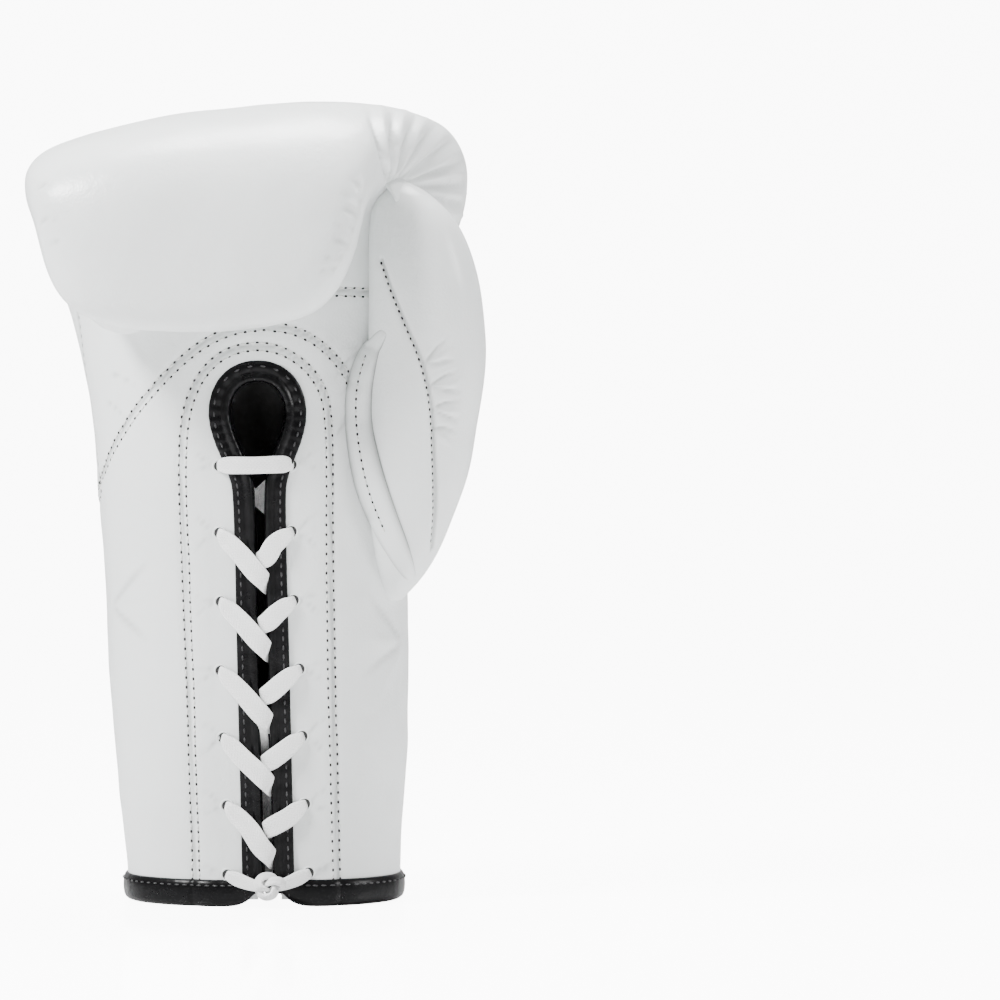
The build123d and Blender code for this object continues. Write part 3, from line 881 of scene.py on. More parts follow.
# ============================================================================ opening and seams
@dataclass(frozen=True)
class Lacing:
    """Sizes shared by everything at the laced opening, measured across (u) and up (v) the lacing."""

    rows: tuple[float, ...] = (12.4, 37.8, 62.8, 87.5, 112.8, 138.0, 162.4)
    left: tuple[float, ...] = (-14.9, -14.5, -15.3, -15.6, -14.9, -14.9, -14.4)
    right: tuple[float, ...] = (14.8, 14.0, 13.6, 13.1, 11.6, 11.4, 11.9)
    keyhole: tuple[Spot, ...] = (
        (2.5, 5.0), (2.5, 45.0), (2.5, 90.0), (2.4, 130.0), (2.7, 152.0), (4.0, 160.0), (6.6, 167.0),
        (9.2, 173.5), (10.7, 180.0), (10.2, 185.8), (7.8, 190.4), (4.2, 192.9), (0.0, 193.6),
    )

    def outline(self, grow: float = 0.0) -> list[tuple[float, float]]:
        """Half outline of the opening.

        Args:
            grow: how far the outline is moved away from the opening's middle.
        Returns:
            u and v of its points, from the hem to the top.
        """
        points = []
        line = [Vector((u, v, 0)) for u, v in self.keyhole]
        for k, point in enumerate(line):
            way = way_at(line, k)
            if k == len(line) - 1:
                way = Vector((-1, 0, 0))
            out = Vector((way.y, -way.x, 0))
            points.append(tuple((point + out * grow)[:2]))
        return points

    def whole(self, grow: float = 0.0) -> list[tuple[float, float]]:
        """The whole outline, from the hem on the thumb side over the top to the hem on the pinky side."""
        half = self.outline(grow)
        return half + [(-u, v) for u, v in reversed(half[:-1])]

    def reach(self, v: float, grow: float = 0.0) -> float:
        """Half width of the opening at a height.

        Args:
            v: the height.
            grow: how far the opening is grown.
        Returns:
            The half width, or -1 above the opening.
        """
        half = self.outline(grow)
        if v >= half[-1][1]:
            return -1.0
        best = half[0][0]
        for (u0, v0), (u1, v1) in zip(half, half[1:]):
            if min(v0, v1) <= v <= max(v0, v1):
                best = u0 + (u1 - u0) * (v - v0) / max(abs(v1 - v0), 1e-6) * (1 if v1 > v0 else -1)
        return best


LACING = Lacing()


def opening_at(point: Vector, grow: float) -> bool:
    """Tells whether a point of the palm side lies in the laced opening.

    Args:
        point: the point, in millimetres.
        grow: how far the opening is grown.
    Returns:
        Whether the point lies in it.
    """
    if point.y > -15 or point.z > 205:
        return False
    dx, dz = point.x - LACE_FOOT, point.z
    u = dx * math.cos(LACE_TILT) + dz * math.sin(LACE_TILT)
    v = -dx * math.sin(LACE_TILT) + dz * math.cos(LACE_TILT)
    return abs(u) < LACING.reach(max(v, 6.0), grow)


class Side(Enum):
    """Which way a seam's points are dropped on the skin."""

    FRONT = "front"
    RECESS = "recess"
    AROUND = "around"


@dataclass(frozen=True)
class Seam:
    """A sewn line on the skin, with its groove, its raised edge and its rows of stitches."""

    name: str
    points: tuple[Spot, ...]
    side: Side = Side.FRONT
    rows: tuple[float, ...] = (-1.45, 1.45)
    groove: float = 0.5
    step: float = 0.35
    pitch: float = 3.5

    def line(self, skin: Surface) -> tuple[list[Vector], list[Vector]]:
        """Points and normals of the seam on a skin, about 1 mm apart.

        Args:
            skin: the skin that it lies on.
        Returns:
            Points and normals.
        """
        flat = [Vector((a, 0, b)) for a, b in self.points]
        scale = 0.9 if self.side is Side.AROUND else 1.0
        steps = max(8, int(length_of(flat) * scale))
        points, normals = [], []
        for place in smooth_line(flat, steps):
            if self.side is Side.AROUND:
                point, normal = skin.around(place.x, place.z)
            elif self.side is Side.RECESS:
                point, normal = skin.front(place.x, place.z, ROLL_INSIDE)
            else:
                point, normal = skin.front(place.x, place.z)
            points.append(point)
            normals.append(normal)
        return points, normals


MITT_SEAMS = (
    Seam("arch_pinky", ((-62, 152), (-55, 168), (-45, 183), (-33, 196), (-21, 206), (-9, 211.5), (2, 213)),
         Side.RECESS, step=0.5),
    Seam("arch_thumb", ((2, 213), (12, 211.5), (21, 207), (29, 199), (34, 190), (38, 179)),
         Side.RECESS, step=0.5),
    Seam("placket", ((-23.8, 3), (-24.3, 30), (-25.2, 60), (-26, 90), (-27, 120), (-28, 148), (-28, 170),
                     (-26, 184), (-20.5, 195.5), (-12, 203), (-1, 205.6), (9, 203.6), (18, 197),
                     (23.6, 187), (25.2, 173), (25.2, 150), (25.4, 120), (26, 90), (26.6, 60),
                     (27.2, 30), (27.8, 3)), step=0.55),
    Seam("arch_back", ((-81, 151), (-89, 147.5), (-97, 143), (-105, 138), (-125, 126), (-150, 114),
                       (-180, 108), (-210, 114), (-235, 126), (-255, 138), (-263, 143)),
         Side.AROUND, step=0.5),
    Seam("side_pinky", ((-60.5, 151), (-62.5, 170), (-65, 190), (-67.5, 210), (-69, 220)),
         rows=(0.9,), step=0.2),
    Seam("cuff_back_pinky", ((-143, 5), (-145, 40), (-147, 75), (-150, 110)), Side.AROUND, rows=(1.4,)),
    Seam("cuff_back_thumb", ((143, 5), (145, 40), (147, 75), (150, 110)), Side.AROUND, rows=(-1.4,)),
    Seam("under_roll", ((-66, 219), (-50, 223.5), (-20, 226), (10, 226), (30, 225.5), (46, 225)),
         Side.RECESS, step=0.3),
)
THUMB_SEAMS = (
    Seam("thumb_side", ((44.5, 236), (48, 226), (53, 214), (58.5, 201), (61.5, 189), (62.8, 177),
                        (63.4, 160), (63.6, 145), (62.5, 132)),
         rows=(0.0,), groove=0.7, step=0.25, pitch=2.6),
)


@dataclass(frozen=True)
class Swells:
    """Soft hollows and swells of one size."""

    size: float
    depth: float
    seed: float


MITT_SWELLS = (Swells(34.0, 0.9, 3.1), Swells(12.0, 0.25, 7.7))
THUMB_SWELLS = (Swells(24.0, 0.8, 5.3),)


class SkinWork:
    """Presses seams, pleats and soft unevenness into a form's mesh, and paints shade into seam grooves and
    sunken folds.
    """

    def __init__(self, piece: Piece) -> None:
        """Reads the mesh of a piece.

        Args:
            piece: the piece.
        """
        self.piece = piece
        mesh = piece.data
        count = len(mesh.vertices)
        flat = np.empty(count * 3, dtype=np.float32)
        mesh.vertices.foreach_get("co", flat)
        self.place = flat.reshape(-1, 3) / MM
        flat = np.empty(count * 3, dtype=np.float32)
        mesh.vertices.foreach_get("normal", flat)
        self.normal = flat.reshape(-1, 3).copy()
        self.lift = np.zeros(count, dtype=np.float32)
        self.shade = np.zeros(count, dtype=np.float32)

    def near(self, points: Line, normals: Line, reach: float) -> tuple[np.ndarray, np.ndarray, np.ndarray]:
        """Vertices near a line.

        Args:
            points: the line.
            normals: the skin's normals along it.
            reach: how far from the line counts.
        Returns:
            The vertices' indices, their signed distance to its side, and how far along they lie,
            from 0 to 1.
        """
        line = np.array([tuple(p) for p in points], dtype=np.float32)
        face = np.array([tuple(n) for n in normals], dtype=np.float32)
        ways = np.array([tuple(way_at(points, k)) for k in range(len(points))], dtype=np.float32)
        low, high = line.min(axis=0) - reach, line.max(axis=0) + reach
        inside = np.nonzero(np.all((self.place > low) & (self.place < high), axis=1))[0]
        if not len(inside):
            return inside, np.zeros(0), np.zeros(0)
        apart = self.place[inside][:, None, :] - line[None, :, :]
        closest = np.einsum("ijk,ijk->ij", apart, apart).argmin(axis=1)
        gap = apart[np.arange(len(inside)), closest]
        side_way = np.cross(ways[closest], face[closest])
        side = np.einsum("ij,ij->i", gap, side_way)
        along = np.einsum("ij,ij->i", gap, ways[closest])
        depth = np.einsum("ij,ij->i", gap, face[closest])
        facing = np.einsum("ij,ij->i", self.normal[inside], face[closest]) > 0.2
        keep = (np.abs(side) < reach) & (np.abs(along) < 1.6) & (np.abs(depth) < 5.0) & facing
        return inside[keep], side[keep], closest[keep] / max(len(points) - 1, 1)

    def seam(self, seam: Seam, skin: Surface) -> None:
        """Sinks a groove, raises one edge, dimples the rows of stitches and paints shade into the groove.

        Args:
            seam: the seam.
            skin: the bare skin that it is dropped on.
        """
        points, normals = seam.line(skin)
        index, side, _ = self.near(points, normals, 9.0)
        edge = 1 / (1 + np.exp(-side / 0.45)) * np.exp(-np.abs(side) / 7.0)
        self.lift[index] += seam.step * edge - seam.groove * np.exp(-((side + 0.4) / 1.0) ** 2)
        for row in seam.rows:
            self.lift[index] -= 0.22 * np.exp(-((side - row) / 0.7) ** 2)
        # painted shade along the seam's groove
        self.shade[index] = np.maximum(self.shade[index], 0.5 * np.exp(-((side + 0.5) / 0.8) ** 2))
        LOG.info("seam %s: %d points of the skin", seam.name, len(index))

    def fold(self, points: Line, normals: Line, width: float, height: float) -> None:
        """Presses a fold that fades towards its far end, with painted shade in its groove when it sinks.

        Args:
            points: the fold's line.
            normals: the skin's normals along it.
            width: the fold's width.
            height: how far it rises, or with a minus sign how far it sinks.
        """
        index, side, along = self.near(points, normals, width * 3)
        fade = np.clip(along * 6, 0, 1) * np.clip((1 - along) * 2.2, 0, 1)
        self.lift[index] += height * np.exp(-(side / width) ** 2) * fade
        # a sunken fold also gets painted shade along its groove
        if height < 0:
            painted_crease_shade = 0.28 * np.exp(-(side / width * 1.6) ** 2) * fade
            self.shade[index] = np.maximum(self.shade[index], painted_crease_shade)

    def uneven(self, swells: Swells) -> None:
        """Adds smooth hollows and swells.

        Args:
            swells: their size, depth and seed.
        """
        offset = Vector((swells.seed, -swells.seed, 2 * swells.seed))
        for k, place in enumerate(self.place):
            self.lift[k] += swells.depth * noise.noise(Vector(place.tolist()) / swells.size + offset)

    def finish(self) -> None:
        """Writes the worked skin back to the mesh."""
        place = (self.place + self.normal * self.lift[:, None]) * MM
        mesh = self.piece.data
        mesh.vertices.foreach_set("co", place.astype(np.float32).ravel())
        # the seam attribute carries the painted shade of grooves and creases into the leather's colour
        layer = mesh.attributes.new("seam", "FLOAT", "POINT")
        layer.data.foreach_set("value", self.shade)
        mesh.update()


@dataclass(frozen=True)
class Folds:
    """Fans of folds of one size, each from the x and z of its root to those of its folds' ends."""

    width: float
    height: float
    fans: tuple[tuple[Spot, tuple[Spot, ...]], ...]

    def press(self, work: SkinWork, skin: Surface) -> None:
        """Presses every fan, with grooves between its folds.

        Args:
            work: the skin that is worked.
            skin: the bare skin that the folds are dropped on.
        """
        for root, ends in self.fans:
            for k, end in enumerate(ends):
                bend = Vector((0.8 * math.sin(3.1 * k), 0, 0.8 * math.cos(2.3 * k)))
                start = Vector((root[0], 0, root[1]))
                stop = Vector((end[0], 0, end[1]))
                count = max(6, int((stop - start).length))
                flat = smooth_line([start, start.lerp(stop, 0.5) + bend, stop], count)
                hits = [skin.front(place.x, place.z) for place in flat]
                points, normals = zip(*hits)
                sign = 1.0 if k % 2 else -1.15
                width = self.width * (0.8 + 0.4 * abs(math.sin(k * 1.7)))
                work.fold(points, normals, width, sign * self.height)


def fist_fan(x: float = 47.0, z: float = 263.0, reach: float = 34.0) -> tuple[Spot, tuple[Spot, ...]]:
    """The fan of pleats where the fist turns over the thumb.

    Args:
        x: the root's place to the thumb side.
        z: the root's height.
        reach: how long the pleats are.
    Returns:
        The root and the pleats' ends.
    """
    turns = [math.radians(degrees) for degrees in (104, *range(95, -42, -8))]
    return (x, z), tuple((x + reach * math.cos(turn), z + reach * math.sin(turn)) for turn in turns)


def eyelet_fans() -> tuple[tuple[Spot, tuple[Spot, ...]], ...]:
    """The small fans of creases that the lace pulls beside each eyelet.

    Returns:
        Each fan's root and ends.
    """
    fans = []
    for row, v in enumerate(LACING.rows):
        for side, u in ((-1, LACING.left[row]), (1, LACING.right[row])):
            ends = [lace_place(u + side * 9.5, v + 7.5 * math.sin(i * 1.3 + row)) for i in range(4)]
            fans.append((lace_place(u + side * 1.5, v), tuple(ends)))
    return tuple(fans)


MITT_FOLDS = (
    Folds(1.2, 1.45, (fist_fan(),)),
    Folds(0.9, 0.55, (
        ((38.5, 262), ((31.5, 268),)), ((38.5, 257), ((30.0, 261),)), ((37.5, 252), ((29.5, 255),)),
        ((36.0, 247), ((27.5, 249),)), ((34.0, 242), ((26.0, 243),)), ((31.5, 237), ((24.0, 237),)),
        ((29.0, 233), ((22.0, 232),)), ((-80, 262), ((-73, 264),)), ((-78, 250), ((-70, 251),)),
        ((-76, 242), ((-68, 243),)), ((36, 204), ((27, 194),)), ((37, 199), ((29, 187),)),
        ((31, 209), ((40, 197),)), ((-56, 196), ((-44, 190),)), ((-58, 186), ((-49, 178),)),
        ((33, 182), ((27, 170),)),
    )),
    Folds(0.9, 0.3, eyelet_fans()),
    Folds(2.4, 0.5, (
        ((-56.0, 110.0), ((-40, 128), (-38, 112), (-41, 97))),
        ((52.0, 96.0), ((38, 116), (34, 100), (37, 84), (40, 70))),
    )),
)
THUMB_FOLDS = (
    Folds(0.8, 0.85, (
        ((60.0, 199.0), ((69, 209), (71, 205), (72, 201))),
        ((62.0, 191.0), ((73, 197), (74, 193), (74.5, 189))),
        ((62.8, 183.0), ((74, 186), (74.5, 182), (73.5, 178))),
        ((63.2, 176.0), ((73, 174), (71, 169))),
    )),
)


def cut_opening(piece: Piece, grow: float) -> None:
    """Removes the faces of a skin that lie in the laced opening.

    Args:
        piece: the piece.
        grow: how far the opening is grown.
    """
    bm = bmesh.new()
    bm.from_mesh(piece.data)
    gone = [face for face in bm.faces if opening_at(face.calc_center_median() / MM, grow)]
    bmesh.ops.delete(bm, geom=gone, context="FACES")
    bm.to_mesh(piece.data)
    bm.free()


@dataclass
class StitchRows:
    """Thread along rows of sewing, with flat dark lumps of painted shade at the needle holes."""

    name: str
    half_width: float = 0.42
    rise: float = 0.28
    hole: tuple[float, float, float] = (0.72, 0.5, 0.14)

    def build(self, seams: Sequence[Seam], bare: Surface, skin: Surface, thread: Material,
              hole: Material) -> list[Piece]:
        """Builds the thread and the painted shade of the needle holes of several seams.

        Args:
            seams: the seams.
            bare: the bare skin that they are dropped on.
            skin: the worked skin that the thread lies on.
            thread: the thread's material.
            hole: the holes' material.
        Returns:
            The thread piece and the holes piece.
        """
        threads, holes = bmesh.new(), bmesh.new()
        for seam in seams:
            points, normals = seam.line(bare)
            for row in seam.rows:
                self.row(points, normals, row, seam.pitch, skin, threads, holes)
        return [finish_piece(threads, self.name, thread, keep_normals=True),
                finish_piece(holes, self.name + "_hole_shade", hole, keep_normals=True)]

    def row(self, points: Line, normals: Line, offset: float, pitch: float, skin: Surface,
            threads: Mesh, holes: Mesh) -> None:
        """Sews one row beside a seam.

        Args:
            points: the seam's line.
            normals: the skin's normals along it.
            offset: how far to the side of the seam the row runs.
            pitch: the length of one stitch.
            skin: the worked skin that the thread lies on.
            threads: the mesh that takes the stitches.
            holes: the mesh that takes the needle holes.
        """
        side = [p + way_at(points, k).cross(n) * offset for k, (p, n) in enumerate(zip(points, normals))]
        count = max(2, int(length_of(side) / pitch))
        places = smooth_line(side, count)
        for k, place in enumerate(places[:-1]):
            middle = (place + places[k + 1]) / 2
            point, normal = skin.nearest(middle)
            way = (places[k + 1] - place).normalized()
            self.one(threads, point + normal * 0.04, way, normal, (pitch * 0.28, self.half_width, self.rise))
            # each needle hole is a flat dark lump on the leather: painted shade of the hole
            point, normal = skin.nearest(place)
            self.one(holes, point + normal * 0.03, way, normal, self.hole)

    def one(self, bm: Mesh, place: Vector, way: Vector, normal: Vector,
            size: tuple[float, float, float]) -> None:
        """Adds one small rounded lump, long along its way.

        Args:
            bm: the mesh that takes it.
            place: its centre.
            way: where it points.
            normal: the normal of what it lies on.
            size: half its length, width and height.
        """
        way = (way - normal * way.dot(normal)).normalized()
        turn = Matrix((way, normal.cross(way), normal)).transposed().to_4x4()
        matrix = Matrix.Translation(place) @ turn @ Matrix.Diagonal((*size, 1.0))
        bmesh.ops.create_icosphere(bm, subdivisions=1, radius=1.0, matrix=matrix)


@dataclass
class OpeningBinding:
    """Glossy binding that wraps the edge of the laced opening, with a rolled inner edge."""

    profile: tuple[Spot, ...] = (
        (7.1, -0.7), (7.2, 0.4), (6.5, 1.0), (4.9, 1.25), (3.5, 1.15), (2.7, 0.75), (2.1, 1.5),
        (0.9, 2.1), (-0.3, 1.7), (-0.8, 0.5), (-0.9, -2.5), (-0.8, -7.0), (0.6, -7.2), (1.2, -2.0),
    )
    pucker: float = 0.2
    pucker_from: float = 158.0
    thread_at: float = 5.0
    thread_rise: float = 1.32
    stitch: tuple[float, float, float] = (1.15, 0.38, 0.3)

    def path(self, skin: Surface, step: float) -> tuple[list[Vector], list[Vector], list[Vector]]:
        """The opening's edge on the skin.

        Args:
            skin: the skin that it lies on.
            step: the distance between two points.
        Returns:
            Points, normals and directions away from the hole.
        """
        flat = [Vector((*lace_place(u, v), 0)) for u, v in LACING.whole()]
        flat = smooth_line(flat, int(length_of(flat) / step))
        points, normals, aways = [], [], []
        for place in flat:
            point, normal = skin.front(place.x, place.y)
            points.append(point)
            normals.append((normal * 0.5 + Vector((0, -0.5, 0))).normalized())
        for k, normal in enumerate(normals):
            aways.append(way_at(points, k).cross(normal).normalized())
        return points, normals, aways

    def build(self, skin: Surface, material: Material) -> Piece:
        """Builds the binding.

        Args:
            skin: the skin that it lies on.
            material: the piece's material.
        Returns:
            The piece.
        """
        points, normals, aways = self.path(skin, 1.0)
        rings = []
        for k, (point, normal, away) in enumerate(zip(points, normals, aways)):
            wave = self.pucker * math.sin(k * 2.05) * max(0.0, min(1.0, (point.z - self.pucker_from) / 14))
            small = 0.12 * noise.noise(point / 4.0)
            ring = []
            for d, h in self.profile:
                lift = (wave * (0.4 if d < 2.4 else 1.0) + small) * (1.0 if h > 0.2 else 0.0)
                ring.append(point + away * (d - wave * 0.5) + normal * (h + lift))
            rings.append(ring)
        bm = skin_rings(rings)
        close_ends(bm)
        return finish_piece(bm, "opening_binding", material, 1)

    def stitches(self, skin: Surface, material: Material) -> Piece:
        """The binding's own row of black thread.

        Args:
            skin: the skin that it lies on.
            material: the thread's material.
        Returns:
            The piece.
        """
        points, normals, aways = self.path(skin, 3.3)
        bm = bmesh.new()
        rows = StitchRows("binding_thread")
        for k, (point, normal, away) in enumerate(zip(points, normals, aways)):
            place = point + away * self.thread_at + normal * self.thread_rise
            rows.one(bm, place, way_at(points, k), normal, self.stitch)
        return finish_piece(bm, "binding_thread", material, keep_normals=True)


@dataclass
class HemBinding:
    """Binding rolled round the cuff's mouth, with its ends curling up at the lacing."""

    profile: tuple[Spot, ...] = (
        (0.2, 10.4), (1.3, 9.7), (1.85, 7.2), (1.8, 3.4), (1.1, 0.9), (-0.8, 0.0), (-4.2, 0.0), (-7.2, 0.6),
        (-8.4, 2.6), (-8.6, 6.5), (-8.3, 10.2), (-7.2, 10.7), (-4.0, 8.0), (-0.7, 9.6),
    )
    start: float = 8.6
    end: float = 359.6
    curl: float = 3.6
    curl_reach: float = 6.5
    thread_height: float = 8.1
    thread_out: float = 1.85
    stitch: tuple[float, float, float] = (1.15, 0.36, 0.28)

    def path(self, skin: Surface, count: int) -> tuple[list[Vector], list[Vector], list[float]]:
        """The hem's line round the cuff.

        Args:
            skin: the skin that it lies on.
            count: how many points.
        Returns:
            Points at the hem's height, their outward directions, and how far each lies from an end.
        """
        points, outs = [], []
        for k in range(count):
            degrees = self.start + (self.end - self.start) * k / (count - 1)
            point, normal = skin.around(degrees, 8.0)
            points.append(point)
            outs.append(Vector((normal.x, normal.y, 0)).normalized())
        ends = [min((p - points[0]).length, (p - points[-1]).length) for p in points]
        return points, outs, ends

    def build(self, skin: Surface, material: Material) -> Piece:
        """Builds the hem.

        Args:
            skin: the skin that it lies on.
            material: the piece's material.
        Returns:
            The piece.
        """
        points, outs, ends = self.path(skin, 300)
        rings = []
        for k, (point, out, end) in enumerate(zip(points, outs, ends)):
            up = self.curl * math.exp(-(end / self.curl_reach) ** 2)
            slim = 1.0 - 0.5 * math.exp(-(end / 3.0) ** 2)
            ring = []
            for r, z in self.profile:
                reach = r * (slim if r < 0 else 1.0) + 0.1 * noise.noise(point / 5)
                height = 5 + (z - 5) * slim + up * (1.0 - 0.06 * z)
                ring.append(Vector((point.x, point.y, 0)) + out * reach + Vector((0, 0, height)))
            rings.append(ring)
        bm = skin_rings(rings)
        close_ends(bm)
        return finish_piece(bm, "hem_binding", material, 1)

    def stitches(self, skin: Surface, material: Material) -> Piece:
        """A row of thread near the hem's upper edge.

        Args:
            skin: the skin that it lies on.
            material: the thread's material.
        Returns:
            The piece.
        """
        points, outs, ends = self.path(skin, 96)
        bm = bmesh.new()
        rows = StitchRows("hem_thread")
        for k, (point, out, end) in enumerate(zip(points, outs, ends)):
            if end < 2.5:
                continue
            up = self.curl * math.exp(-(end / self.curl_reach) ** 2) * 0.5
            place = Vector((point.x, point.y, self.thread_height + up)) + out * self.thread_out
            rows.one(bm, place, way_at(points, k), out, self.stitch)
        return finish_piece(bm, "hem_thread", material, keep_normals=True)


@dataclass
class HandLining:
    """Black satin lining of the hand space."""

    stations: tuple[Station, ...] = (
        Station((-31.3, 4.0), (30.0, 4.0), 42.6, 42.6, 42.6, 2.3),
        Station((-33.0, 30.0), (30.0, 30.0), 44.0, 43.0, 43.0, 2.3),
        Station((-34.6, 60.0), (30.0, 60.0), 45.0, 44.0, 44.0, 2.3),
        Station((-37.0, 118.0), (29.0, 120.0), 46.5, 43.0, 43.0, 2.4),
        Station((-38.5, 160.0), (22.0, 165.0), 47.0, 36.0, 36.0, 2.4),
        Station((-39.3, 195.0), (14.0, 205.0), 48.0, 34.0, 34.0, 2.4),
        Station((-38.0, 218.0), (6.0, 228.0), 44.0, 30.0, 30.0, 2.4),
        Station((-26.0, 234.0), (-8.0, 236.0), 26.0, 16.0, 16.0, 2.2),
    )

    def build(self, material: Material) -> Piece:
        """Builds the lining, open at the mouth and at the lacing.

        Args:
            material: the piece's material.
        Returns:
            The piece.
        """
        bm = skin_rings([station.ring(36) for station in self.stations])
        rim = [edge for edge in bm.edges if edge.is_boundary and edge.verts[0].co.z > 100]
        bmesh.ops.holes_fill(bm, edges=rim, sides=0)
        piece = finish_piece(bm, "hand_lining_satin", material, 2)
        bm = bmesh.new()
        bm.from_mesh(piece.data)
        for vert in bm.verts:
            vert.co += vert.normal * 0.0006 * noise.noise(vert.co * 90)
        gone = [face for face in bm.faces if opening_at(face.calc_center_median() / MM, 0.6)]
        bmesh.ops.delete(bm, geom=gone, context="FACES")
        bmesh.ops.reverse_faces(bm, faces=bm.faces)
        bm.to_mesh(piece.data)
        bm.free()
        return piece


# ============================================================================ laces
@dataclass
class RibbonPoint:
    """One point of a flat lace: its place, which way it faces, its width and its thickness."""

    place: Vector
    face: Vector
    width: float = 6.5
    thick: float = 1.1


def flow(values: Sequence[Vector], steps: int) -> list[Vector]:
    """Smooth samples through values, the same number between each two.

    Args:
        values: the values.
        steps: how many samples between each two.
    Returns:
        The samples.
    """
    line = [values[0], *values, values[-1]]
    result = []
    for p0, p1, p2, p3 in zip(line, line[1:], line[2:], line[3:]):
        for k in range(steps):
            t = k / steps
            result.append(0.5 * (2 * p1 + (p2 - p0) * t + (2 * p0 - 5 * p1 + 4 * p2 - p3) * t * t
                                 + (3 * p1 - p0 - 3 * p2 + p3) * t ** 3))
    result.append(values[-1])
    return result


@dataclass
class Ribbon:
    """A flat woven lace swept along its points."""

    name: str
    points: list[RibbonPoint]
    steps: int = 6
    sides: int = 12

    def build(self, material: Material) -> Piece:
        """Builds the ribbon with closed ends.

        Args:
            material: the piece's material.
        Returns:
            The piece.
        """
        places = flow([p.place for p in self.points], self.steps)
        faces = flow([p.face for p in self.points], self.steps)
        sizes = flow([Vector((p.width, p.thick, 0)) for p in self.points], self.steps)
        rings = []
        for k, (place, face, size) in enumerate(zip(places, faces, sizes)):
            way = way_at(places, k)
            face = (face - way * face.dot(way)).normalized()
            side = way.cross(face)
            ring = []
            for i in range(self.sides):
                turn = 2 * math.pi * (i + 0.5) / self.sides
                ring.append(place + side * (size.x / 2 * power(math.cos(turn), 0.55))
                            + face * (size.y / 2 * power(math.sin(turn), 0.7)))
            rings.append(ring)
        bm = skin_rings(rings)
        across = bm.verts.layers.float["across"]
        for k, vert in enumerate(bm.verts):
            turn = 2 * math.pi * (k % self.sides + 0.5) / self.sides
            vert[across] = (power(math.cos(turn), 0.55) + 1) * 2
        close_ends(bm)
        return finish_piece(bm, self.name, material, 1)


